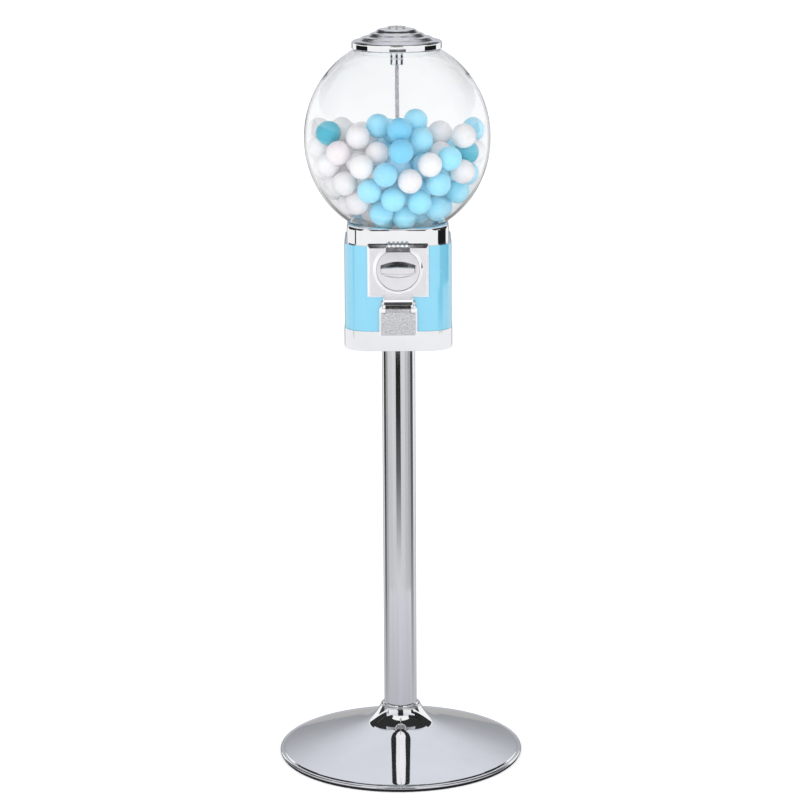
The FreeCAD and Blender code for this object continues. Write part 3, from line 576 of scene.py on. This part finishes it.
# ------------------------------------------------------------------ outlet flap: pebbled plate on a rolled barrel
def flap_mesh():
    X, Z0, Z1, Y0, Y1 = 21.3, 566.6, 594.3, -74.2, -71.6
    nx, nz = 128, 84
    verts, faces = [], []

    def edge(d, r=0.7):
        return r - math.sqrt(max(0.0, r * r - max(0.0, r - d) ** 2))

    def pebble(u, v):
        """Depth of the pebbled finish, 0 to about 0.45 mm."""
        pit = max(0.0, 1.0 - noise.voronoi(Vector((u * 0.48, v * 0.48, 1.7)))[0][0] * 1.8)
        grain = 0.5 + 0.5 * noise.fractal(Vector((u * 0.9, v * 0.9, 4.2)), 0.8, 2.0, 3)
        return 0.28 * pit + 0.22 * max(0.0, min(1.0, grain))

    for side in (0, 1):
        for i in range(nx + 1):
            for k in range(nz + 1):
                x, z = -X + 2 * X * i / nx, Z0 + (Z1 - Z0) * k / nz
                d = min(X - abs(x), z - Z0, Z1 - z)
                y = Y0 + edge(d) + min(1.0, d / 0.6) * pebble(x, z) if side == 0 else Y1 - edge(d, 0.4)
                verts.append((x, y, z))
    row, half = nz + 1, (nx + 1) * (nz + 1)
    for i in range(nx):
        for k in range(nz):
            a = i * row + k
            faces.append((a, a + row, a + row + 1, a + 1))
            faces.append((half + a, half + a + 1, half + a + row + 1, half + a + row))
    rim = [i * row for i in range(nx + 1)] + [nx * row + k for k in range(1, row)] + [i * row + nz for i in range(nx - 1, -1, -1)] + [k for k in range(nz - 1, 0, -1)]
    for j, a in enumerate(rim):
        b = rim[(j + 1) % len(rim)]
        faces.append((a, half + a, half + b, b))
    # barrel and the neck below it, one section drawn along X
    r, cy, cz = 2.38, -72.9, 598.1
    sec = [(-74.1, 593.7), (-74.1, 594.4), (-74.12, 595.0), (-74.14, 595.6)]
    for j in range(29):
        t = math.radians(237.2 - 294.4 * j / 28)
        sec.append((cy + r * math.cos(t), cz + r * math.sin(t)))
    sec += [(-71.66, 595.0), (-71.65, 593.7)]
    xs = [-15.4, -15.25, -14.9] + [-14.9 + 29.8 * j / 72 for j in range(1, 72)] + [14.9, 15.25, 15.4]
    base = len(verts)
    my, mz = cy, 597.0
    run = [0.0]
    for a, b in zip(sec, sec[1:]):
        run.append(run[-1] + math.dist(a, b))
    for j, x in enumerate(xs):
        k = 0.90 if j in (0, len(xs) - 1) else (0.97 if j in (1, len(xs) - 2) else 1.0)
        for (y, z), l in zip(sec, run):
            q = pebble(x, 593.7 + l) if k == 1.0 and y < -72.0 else 0.0
            f = k * (1 - 0.7 * q / 2.4)
            verts.append((x, my + (y - my) * f, mz + (z - mz) * f))
    m = len(sec)
    for j in range(len(xs) - 1):
        for i in range(m):
            i2 = (i + 1) % m
            faces.append((base + j * m + i, base + j * m + i2, base + (j + 1) * m + i2, base + (j + 1) * m + i))
    faces.append(tuple(base + i for i in range(m))[::-1])
    faces.append(tuple(base + (len(xs) - 1) * m + i for i in range(m)))
    me = bpy.data.meshes.new("outlet_flap")
    me.from_pydata([(x * MM, y * MM, z * MM) for x, y, z in verts], [], faces)
    bm = bmesh.new()
    bm.from_mesh(me)
    bmesh.ops.recalc_face_normals(bm, faces=bm.faces)
    bm.to_mesh(me)
    bm.free()
    all_smooth(me)
    me.set_sharp_from_angle(angle=math.radians(60))
    return me


place("outlet_flap", flap_mesh(), "chute_flap")


# ------------------------------------------------------------------ globe
def ell_arc(a, b, r0, r1, n):
    t0, t1 = -math.acos(r0 / a), math.acos(r1 / a)
    return [(a * math.cos(t0 + (t1 - t0) * k / n), 802.0 + b * math.sin(t0 + (t1 - t0) * k / n)) for k in range(n + 1)]


outer = ell_arc(115.7, 123.0, 68.0, 53.4, 96)
inner = ell_arc(112.7, 120.0, 65.4, 50.2, 96)
# the wall thins towards the mouth
thin = [max(0.0, min(1.0, (z - 868.0) / 34.0)) for _, z in inner]
inner = [(r + 1.05 * t * t * (3 - 2 * t) * (r / 112.7 * 0.6 + 0.4), z + 1.35 * t * t * (3 - 2 * t)) for (r, z), t in zip(inner, thin)]
prof = [(55.6, 687.9), (55.9, 687.5), (58.2, 687.5), (58.5, 687.9), (58.5, 694.6), (58.75, 695.4), (59.3, 695.9)]
prof += [(59.3 + (outer[0][0] - 59.3) * t, 695.9 + (outer[0][1] - 695.9) * t) for t in (0.33, 0.66, 0.92)]
prof += outer[1:] + [(53.1, outer[-1][1] + 0.4), (53.0, outer[-1][1] + 1.0), (53.0, 917.2), (52.7, 917.6), (inner[-1][0] + 0.3, 917.6), (inner[-1][0], 917.2)]
prof += [(inner[-1][0], inner[-1][1] + 0.8)] + inner[::-1][1:] + [(56.6, 697.2), (55.8, 696.6), (55.6, 695.8)]


def waves(a, r, z):
    """The mould's slow waves, on the inside of the wall only."""
    if r > 112.75 * math.sqrt(max(0.0, 1 - ((z - 802.0) / 120.2) ** 2)) + 0.4 or z < 712 or z > 905:
        return 0.0
    return -0.22 * (noise.noise(Vector((math.cos(a) * 2.6, math.sin(a) * 2.6, z / 42.0))) + 0.9) * min(1.0, (z - 712) / 20.0, (905 - z) / 20.0)


globe = place("globe_clear", lathe_mesh("globe_clear", prof, 224, waves), "globe")
globe.visible_shadow = False
globe.visible_diffuse = False

# ------------------------------------------------------------------ lid
prof = [(55.3, 913.0), (55.6, 913.0), (55.8, 913.08), (55.9, 913.3), (55.9, 913.6), (55.9, 914.2), (55.9, 917.0), (55.9, 919.0), (55.88, 919.6)]
prof += spline([(55.75, 920.2), (55.3, 921.05), (54.2, 921.9), (52.6, 922.45), (50.6, 922.75), (48.9, 922.95), (47.3, 923.45), (45.6, 924.5), (43.8, 925.75), (42.0, 926.65),
                (40.0, 927.1), (38.0, 927.35), (36.4, 927.8), (34.8, 928.8), (33.0, 930.2), (31.2, 931.3), (29.4, 931.85), (27.8, 932.15), (26.6, 932.7), (25.6, 933.7), (24.5, 934.9),
                (23.0, 935.85), (20.6, 936.5), (17.0, 936.95), (12.6, 937.18), (9.1, 937.2)], 150)
prof += [(8.78, 937.0), (8.78, 926.0), (11.0, 926.0), (12.2, 931.8), (24.0, 930.6), (34.0, 925.4), (44.6, 922.6), (50.6, 921.0), (50.0, 919.1), (53.4, 919.1), (53.4, 913.4), (53.45, 913.1), (53.7, 913.0), (54.0, 913.0)]
lid = place("lid_cap", lathe_mesh("lid_cap", prof, 224), "lid")
line_faces(lid, M["spun_plate"], lambda c, n: c.z > 920.0 and n.z > 0.3)
place("rod_centre", lathe_mesh("rod_centre", [(0.02, 556.0), (2.1, 556.0), (2.4, 556.3), (2.4, 700.0), (2.4, 917.6), (2.1, 918.0), (0.02, 918.0)], 40), "centre_rod", M["dark_plate"])


# ------------------------------------------------------------------ gumballs
def centres(node):
    """Middle of each loose solid of a node."""
    bm = bmesh.new()
    bm.from_mesh(NODES[node].data)
    bmesh.ops.remove_doubles(bm, verts=bm.verts, dist=2e-6)
    bm.verts.ensure_lookup_table()
    seen = bytearray(len(bm.verts))
    out = []
    for v in bm.verts:
        if seen[v.index]:
            continue
        stack, lo, hi = [v], Vector(v.co), Vector(v.co)
        seen[v.index] = 1
        while stack:
            w = stack.pop()
            for i in range(3):
                lo[i] = min(lo[i], w.co[i])
                hi[i] = max(hi[i], w.co[i])
            for e in w.link_edges:
                x = e.other_vert(w)
                if not seen[x.index]:
                    seen[x.index] = 1
                    stack.append(x)
        out.append((lo + hi) / 2)
    bm.free()
    return out


def ball_template():
    bm = bmesh.new()
    bmesh.ops.create_icosphere(bm, subdivisions=4, radius=1.0)
    v = np.array([x.co[:] for x in bm.verts])
    f = np.array([[x.index for x in p.verts] for p in bm.faces])
    bm.free()
    return v, f


BALL_V, BALL_F = ball_template()
RADIUS = 15.0 * MM


def balls(name, node, shade, seed):
    rng = np.random.default_rng(seed)
    V_, F_, C_ = [], [], []
    for i, c in enumerate(sorted(centres(node), key=lambda p: (round(p.z, 5), round(p.x, 5), round(p.y, 5)))):
        q = rng.normal(size=4)
        q /= np.linalg.norm(q)
        w, x, y, z = q
        R = np.array([[1 - 2 * (y * y + z * z), 2 * (x * y - z * w), 2 * (x * z + y * w)],
                      [2 * (x * y + z * w), 1 - 2 * (x * x + z * z), 2 * (y * z - x * w)],
                      [2 * (x * z - y * w), 2 * (y * z + x * w), 1 - 2 * (x * x + y * y)]])
        u = BALL_V
        # slightly lumpy sugar shell, always inside the true ball
        k1, k2, k3 = rng.normal(size=(3, 3))
        lump = np.sin(u @ k1 * 2.2 + rng.uniform(0, 6)) + np.sin(u @ k2 * 3.1 + rng.uniform(0, 6)) + 0.6 * np.sin(u @ k3 * 5.0 + rng.uniform(0, 6))
        rad = RADIUS * (1.0 - 0.0035 * (lump + 2.6))
        V_.append((u * rad[:, None]) @ R.T + np.array(c[:]))
        F_.append(BALL_F + i * len(BALL_V))
        col = np.array(shade(rng, np.array(c[:]) / MM))
        C_.append(np.tile(np.append(col, 1.0), (len(BALL_V), 1)))
    V_, F_, C_ = np.concatenate(V_), np.concatenate(F_), np.concatenate(C_)
    me = bpy.data.meshes.new(name)
    me.from_pydata(V_.tolist(), [], F_.tolist())
    a = me.color_attributes.new("shade", "FLOAT_COLOR", "POINT")
    a.data.foreach_set("color", np.clip(C_, 0, 1).astype(np.float32).ravel())
    all_smooth(me)
    o = place(name, me, node)
    # the balls are set to cast no shadow on one another, so the gaps between them stay light
    o.visible_shadow = False
    return o


DEEP = ((2.5, -78.3, 821.6), (4.7, -97.2, 798.0))
TEAL = ((-83.4, -45.2, 814.0), (84.7, -25.3, 787.2))


def near(c, spots):
    return any(np.linalg.norm(c - np.array(p)) < 9.0 for p in spots)


def blue_shade(rng, c):
    k = rng.normal(0, 0.035)
    col = (0.345 + 0.04 * rng.normal(0, 0.5), 0.68 * (1 + k), 0.82 * (1 + 0.5 * k))
    if near(c, DEEP):
        col = (0.20, 0.56, 0.76)
    if near(c, TEAL):
        col = (0.085, 0.44, 0.56)
    return col


def white_shade(rng, c):
    pink = max(0.0, rng.normal(0.25, 0.45))
    k = 1 + rng.normal(0, 0.012)
    return (0.755 * k, (0.748 - 0.030 * pink) * k, (0.753 - 0.020 * pink) * k)


balls("candy_pile_blue", "gumballs_blue", blue_shade, 11)
balls("candy_pile_white", "gumballs_white", white_shade, 12)
balls("candy_in_wheel", "gumballs_in_wheel", blue_shade if SLOT_OF["gumballs_in_wheel"] == "candy_blue" else white_shade, 13)

# ------------------------------------------------------------------ finishes of the CAD solids that stay
for n, o in NODES.items():
    if n in SLOT_OF:
        o.data.materials.clear()
        o.data.materials.append(M[SLOT_OF[n]])


# ------------------------------------------------------------------ studio
def plain(name, colour, strength):
    m = bpy.data.materials.new(name)
    m.use_nodes = True
    t = m.node_tree
    t.nodes.clear()
    e = t.nodes.new("ShaderNodeEmission")
    e.inputs["Color"].default_value = (*colour, 1)
    e.inputs["Strength"].default_value = strength
    o = t.nodes.new("ShaderNodeOutputMaterial")
    t.links.new(e.outputs[0], o.inputs["Surface"])
    return m, t, e


def only(o, camera=False, diffuse=False, glossy=False, transmission=False, shadow=False):
    o.visible_camera, o.visible_diffuse, o.visible_glossy = camera, diffuse, glossy
    o.visible_transmission, o.visible_shadow = transmission, shadow
    o.visible_volume_scatter = False


def by_distance(name, stops, tint=1.0):
    """Emission that changes with the distance from the stand: (metres, value) stops."""
    m, t, e = plain(name, (1, 1, 1), 1.0)
    far = stops[-1][0]
    tc = t.nodes.new("ShaderNodeTexCoord")
    ln = t.nodes.new("ShaderNodeVectorMath"); ln.operation = "LENGTH"
    mr = t.nodes.new("ShaderNodeMapRange")
    mr.inputs["From Max"].default_value = far
    rp = t.nodes.new("ShaderNodeValToRGB")
    els = rp.color_ramp.elements
    for i, (d, v) in enumerate(stops):
        el = els[i] if i < 2 else els.new(d / far)
        el.position, el.color = d / far, (v, v, v * (1 + (tint - 1) * min(1.0, 2 * (1 - v))), 1)
    t.links.new(tc.outputs["Object"], ln.inputs[0])
    t.links.new(ln.outputs["Value"], mr.inputs["Value"])
    t.links.new(mr.outputs["Result"], rp.inputs["Fac"])
    t.links.new(rp.outputs["Color"], e.inputs["Color"])
    return m


def sheet(name, half, z):
    me = bpy.data.meshes.new(name)
    me.from_pydata([(-half, -half, z), (half, -half, z), (half, half, z), (-half, half, z)], [], [(0, 1, 2, 3)])
    o = bpy.data.objects.new(name, me)
    SCENE.collection.objects.link(o)
    return o


floor = sheet("floor", 40.0, 0.0)
fm = Mat("floor_white", (0.85, 0.85, 0.85), 0.9)
fm.b.inputs["Specular IOR Level"].default_value = 0.0
fm.b.inputs["Emission Color"].default_value = (1, 1, 1, 1)
fm.b.inputs["Emission Strength"].default_value = 0.45
floor.data.materials.append(fm.m)
only(floor, camera=True, diffuse=True, shadow=True)

through = sheet("floor_seen_through_globe", 40.0, 0.0)
only(through, transmission=True)

through.data.materials.append(by_distance("floor_behind", [(0.0, 0.02), (1.5, 0.03), (2.5, 1.0), (3.0, 1.0)]))

# what polished metal sees of the floor, with a painted shadow of the dish: dark under the rim, a little darker close
# to the stand
mirror = sheet("floor_seen_in_metal", 40.0, 0.0)
mirror.data.materials.append(by_distance("floor_mirror_painted_shadow", [(0.0, 0.02), (0.163, 0.02), (0.180, 0.50), (0.40, 0.57), (0.75, 0.68), (1.6, 0.84), (3.2, 0.98)], 1.10))
only(mirror, glossy=True)


def grey_ramp(t, e, axis, lo, hi, stops, blue=1.02):
    """Drive an emission by one object coordinate: (position, value) stops."""
    c = t.nodes.new("ShaderNodeTexCoord")
    x = t.nodes.new("ShaderNodeSeparateXYZ")
    mr = t.nodes.new("ShaderNodeMapRange")
    mr.inputs["From Min"].default_value, mr.inputs["From Max"].default_value = lo, hi
    rp = t.nodes.new("ShaderNodeValToRGB")
    els = rp.color_ramp.elements
    for i, (p, v) in enumerate(stops):
        el = els[i] if i < 2 else els.new((p - lo) / (hi - lo))
        el.position, el.color = (p - lo) / (hi - lo), (v, v * (1 + (blue - 1) * 0.3), v * blue, 1)
    t.links.new(c.outputs["Object"], x.inputs[0])
    t.links.new(x.outputs[axis], mr.inputs["Value"])
    t.links.new(mr.outputs["Result"], rp.inputs["Fac"])
    t.links.new(rp.outputs["Color"], e.inputs["Color"])


def card(name, az0, az1, z0, z1, R, value, stops=None):
    """A curved studio card round the stand, seen only in polished surfaces. az: 0 is the camera side, + is its right."""
    k = max(2, int(abs(az1 - az0) / 3))
    verts, faces = [], []
    for j in range(k + 1):
        a = math.radians(az0 + (az1 - az0) * j / k)
        for z in (z0, z1):
            verts.append((R * math.sin(a), -R * math.cos(a), z))
    for j in range(k):
        faces.append((2 * j, 2 * j + 2, 2 * j + 3, 2 * j + 1))
    me = bpy.data.meshes.new(name)
    me.from_pydata(verts, [], faces)
    o = bpy.data.objects.new(name, me)
    SCENE.collection.objects.link(o)
    m, t, e = plain(name, (1, 1, 1.02), 1.0 if stops else value)
    if stops:
        grey_ramp(t, e, "Z", z0, z1, stops)
    me.materials.append(m)
    only(o, glossy=True)
    return o


def sector(name, az0, az1, r0, r1, v0, v1):
    """A dark wedge on the floor that carries a card's tone in towards the pole."""
    k, n = max(2, int(abs(az1 - az0) / 4)), 8
    verts, faces = [], []
    for j in range(k + 1):
        a = math.radians(az0 + (az1 - az0) * j / k)
        for i in range(n + 1):
            r = r0 + (r1 - r0) * i / n
            verts.append((r * math.sin(a), -r * math.cos(a), 0.0006))
    for j in range(k):
        for i in range(n):
            q = j * (n + 1) + i
            faces.append((q, q + n + 1, q + n + 2, q + 1))
    me = bpy.data.meshes.new(name)
    me.from_pydata(verts, [], faces)
    o = bpy.data.objects.new(name, me)
    SCENE.collection.objects.link(o)
    me.materials.append(by_distance(name, [(0.0, v0), (r0, v0), (r1, v1)]))
    only(o, glossy=True)
    return o


def patch(name, az0, az1, el0, el1, R, value, mid=(0.0, 0.0, 0.4), stops=None):
    """A piece of a dome over the stand, seen only in polished surfaces."""
    ka, ke = max(2, int(abs(az1 - az0) / 6)), max(2, int(abs(el1 - el0) / 6))
    verts, faces = [], []
    for j in range(ka + 1):
        a = math.radians(az0 + (az1 - az0) * j / ka)
        for i in range(ke + 1):
            e = math.radians(el0 + (el1 - el0) * i / ke)
            verts.append((mid[0] + R * math.cos(e) * math.sin(a), mid[1] - R * math.cos(e) * math.cos(a), mid[2] + R * math.sin(e)))
    for j in range(ka):
        for i in range(ke):
            q = j * (ke + 1) + i
            faces.append((q, q + ke + 1, q + ke + 2, q + 1))
    me = bpy.data.meshes.new(name)
    me.from_pydata(verts, [], faces)
    m, t, e = plain(name, (1, 1, 1.02), 1.0 if stops else value)
    if stops:
        grey_ramp(t, e, "Z", 0.0, 2.6, stops, 1.10)
    me.materials.append(m)
    o = bpy.data.objects.new(name, me)
    SCENE.collection.objects.link(o)
    only(o, glossy=True)
    return o


R = 0.75
TOP = 0.389
card("flag_left", -126, -102, 0.0, TOP, R, 0, [(0.0, 0.17), (0.10, 0.13), (0.20, 0.06), (0.36, 0.035)])
card("card_left_edge", -102, -82, 0.0, TOP, R, 0, [(0.0, 0.46), (0.20, 0.38), (0.36, 0.36)])
card("card_left_far", -82, -47, 0.0, TOP, R, 0, [(0.0, 0.60), (0.20, 0.62), (0.36, 0.70)])
card("card_left_near", -47, -21, 0.0, TOP, R, 0, [(0.0, 0.64), (0.20, 0.68), (0.36, 0.74)])
card("flag_middle", -21, 12, 0.0, TOP, R, 0, [(0.0, 0.70), (0.05, 0.62), (0.11, 0.38), (0.19, 0.13), (0.28, 0.035), (0.36, 0.014)])
card("card_right_near", 12, 42, 0.0, TOP, R, 0, [(0.0, 0.64), (0.20, 0.66), (0.36, 0.70)])
card("card_right_far", 42, 64, 0.0, TOP, R, 0, [(0.0, 0.58), (0.20, 0.56), (0.36, 0.55)])
card("card_right_edge", 64, 86, 0.0, TOP, R, 0, [(0.0, 0.50), (0.20, 0.42), (0.36, 0.38)])
card("flag_right", 86, 112, 0.0, TOP, R, 0, [(0.0, 0.31), (0.10, 0.18), (0.20, 0.11), (0.36, 0.05)])
sector("floor_flag_left", -126, -102, 0.20, R, 0.48, 0.17)
sector("floor_flag_right", 86, 112, 0.20, R, 0.50, 0.31)
sector("floor_edge_left", -102, -82, 0.20, R, 0.50, 0.46)
card("flag_collar_right", 63, 114, 0.497, 0.64, R, 0, [(0.497, 0.02), (0.64, 0.008)])
card("flag_corner_right", 54, 77, 0.43, 0.497, R, 0, [(0.43, 0.75), (0.455, 0.30), (0.475, 0.06), (0.497, 0.03)])
card("flag_collar_left", -79, -72, 0.42, 0.64, R, 0, [(0.42, 0.75), (0.49, 0.35), (0.545, 0.05), (0.64, 0.01)])
for n, a0, a1, z0, z1, v in (("flag_lid_left", -122, -77, 0.79, 0.87, 0.01), ("flag_lid_right", 73, 116, 0.79, 0.87, 0.01),
                             ("flag_lid_middle", -18, 22, 0.822, 0.845, 0.012), ("flag_sleeve_left", -126, -88, 0.76, 0.83, 0.08), ("flag_sleeve_middle", -19, 16, 0.76, 0.83, 0.015),
                             ("flag_sleeve_right", 68, 110, 0.76, 0.83, 0.015)):
    card(n, a0, a1, z0, z1, R, v).visible_transmission = True
# small flags behind the lid, for the dark flanks of its rings
card("flag_rings_left", -164, -134, 1.035, 1.22, 0.27, 0.06)
card("flag_rings_right", 134, 164, 1.035, 1.22, 0.27, 0.06)
sector("floor_back", 148, 212, 0.20, 2.55, 0.46, 0.35)
patch("back_wall", 148, 212, -8.8, 82, 2.6, 0, stops=[(0.0, 0.33), (0.45, 0.37), (0.83, 0.44), (1.14, 0.53), (1.6, 0.65), (2.07, 0.71), (2.6, 0.73)])
patch("softbox_front", -50, 50, 49, 62, 2.4, 1.0)
patch("flag_neck_middle", -16, 16, 14, 49, 2.4, 0.03)
patch("flag_high_left", -140, -50, 40, 62, 2.4, 0.03)
patch("flag_high_right", 50, 140, 40, 62, 2.4, 0.03)
patch("flag_lobe_left", -146, -84, 22, 40, 2.4, 0.03)
patch("flag_lobe_right", 84, 146, 22, 40, 2.4, 0.03)
patch("flag_overhead", -118, 118, 61.5, 90, 2.42, 0.03)
patch("flag_overhead_back", 118, 242, 81, 90, 2.4, 0.03)


def hung(name, x0, x1, y0, y1, z, value):
    """A small level card hung over the front of the head."""
    me = bpy.data.meshes.new(name)
    me.from_pydata([(x0, y0, z), (x1, y0, z), (x1, y1, z), (x0, y1, z)], [], [(0, 1, 2, 3)])
    me.materials.append(plain(name, (1, 1, 1), value)[0])
    o = bpy.data.objects.new(name, me)
    SCENE.collection.objects.link(o)
    only(o, glossy=True)


hung("hung_flag_left", -0.062, -0.0135, -0.50, -0.24, 1.2, 0.008)
hung("hung_flag_right", 0.0135, 0.062, -0.50, -0.24, 1.2, 0.008)
hung("hung_strip", -0.0135, 0.0135, -0.50, -0.24, 1.201, 1.0)
hung("low_flag_left", -0.040, -0.0130, -0.52, -0.29, 1.0, 0.008)
hung("low_flag_right", 0.0130, 0.040, -0.52, -0.29, 1.0, 0.008)
hung("low_strip", -0.0130, 0.0130, -0.52, -0.29, 1.001, 1.0)
hung("low_card_left", -0.5, -0.041, -0.64, -0.31, 1.0, 1.0)
hung("low_card_right", 0.041, 0.5, -0.64, -0.31, 1.0, 1.0)
hung("hung_lid_middle", -0.03, 0.03, -0.03, 0.08, 1.15, 0.7)
# even white over the globe, seen through it only
only(patch("dome_behind_globe", 0, 360, 4, 90, 5.0, 1.0, (0.0, 0.0, 0.0)), transmission=True)

world = bpy.data.worlds.new("studio")
SCENE.world = world
world.use_nodes = True
wt = world.node_tree
bg = next(n for n in wt.nodes if n.type == "BACKGROUND")
tc = wt.nodes.new("ShaderNodeTexCoord")
sp = wt.nodes.new("ShaderNodeSeparateXYZ")
rp = wt.nodes.new("ShaderNodeValToRGB")
els = rp.color_ramp.elements
for i, (p, v) in enumerate(((0.42, 1.0), (0.64, 0.86), (0.79, 0.70), (0.92, 0.47), (0.985, 0.30))):
    e = els[i] if i < 2 else els.new(p)
    e.position, e.color = p, (v, v * 1.01, v * (1.0 + 0.10 * min(1.0, (1.0 - v) / 0.4)), 1)
wt.links.new(tc.outputs["Generated"], sp.inputs[0])
wt.links.new(sp.outputs["Z"], rp.inputs["Fac"])
wt.links.new(rp.outputs["Color"], bg.inputs["Color"])
bg.inputs["Strength"].default_value = 1.0


def soft_light(name, loc, aim, size, power, glossy=False):
    d = bpy.data.lights.new(name, "AREA")
    d.shape = "RECTANGLE"
    d.size, d.size_y = size
    d.energy = power
    o = bpy.data.objects.new(name, d)
    SCENE.collection.objects.link(o)
    o.location = loc
    o.rotation_euler = (Vector(aim) - Vector(loc)).to_track_quat("-Z", "Y").to_euler()
    o.visible_glossy = o.visible_transmission = glossy
    o.visible_camera = False
    return o


soft_light("key_left", (-1.9, -2.3, 2.2), (0, 0, 0.65), (2.0, 2.0), 6)
soft_light("fill_right", (2.1, -2.3, 1.5), (0, 0, 0.65), (2.0, 2.0), 4)
soft_light("fill_front", (-0.1, -3.4, 1.3), (0, 0, 0.7), (2.0, 1.6), 35)

cam = bpy.data.cameras.new("camera")
cam.sensor_width = 36.0
cam.lens = 126.0
cam.clip_end = 200.0
co = bpy.data.objects.new("camera", cam)
SCENE.collection.objects.link(co)
co.matrix_world = Matrix.Translation((0.0015, -3.456, 1.267)) @ Matrix.Rotation(math.radians(76.98), 4, "X") @ Matrix.Rotation(math.radians(-0.334), 4, "Z")
SCENE.camera = co
SCENE.view_settings.view_transform = "Standard"
SCENE.view_settings.look = "None"
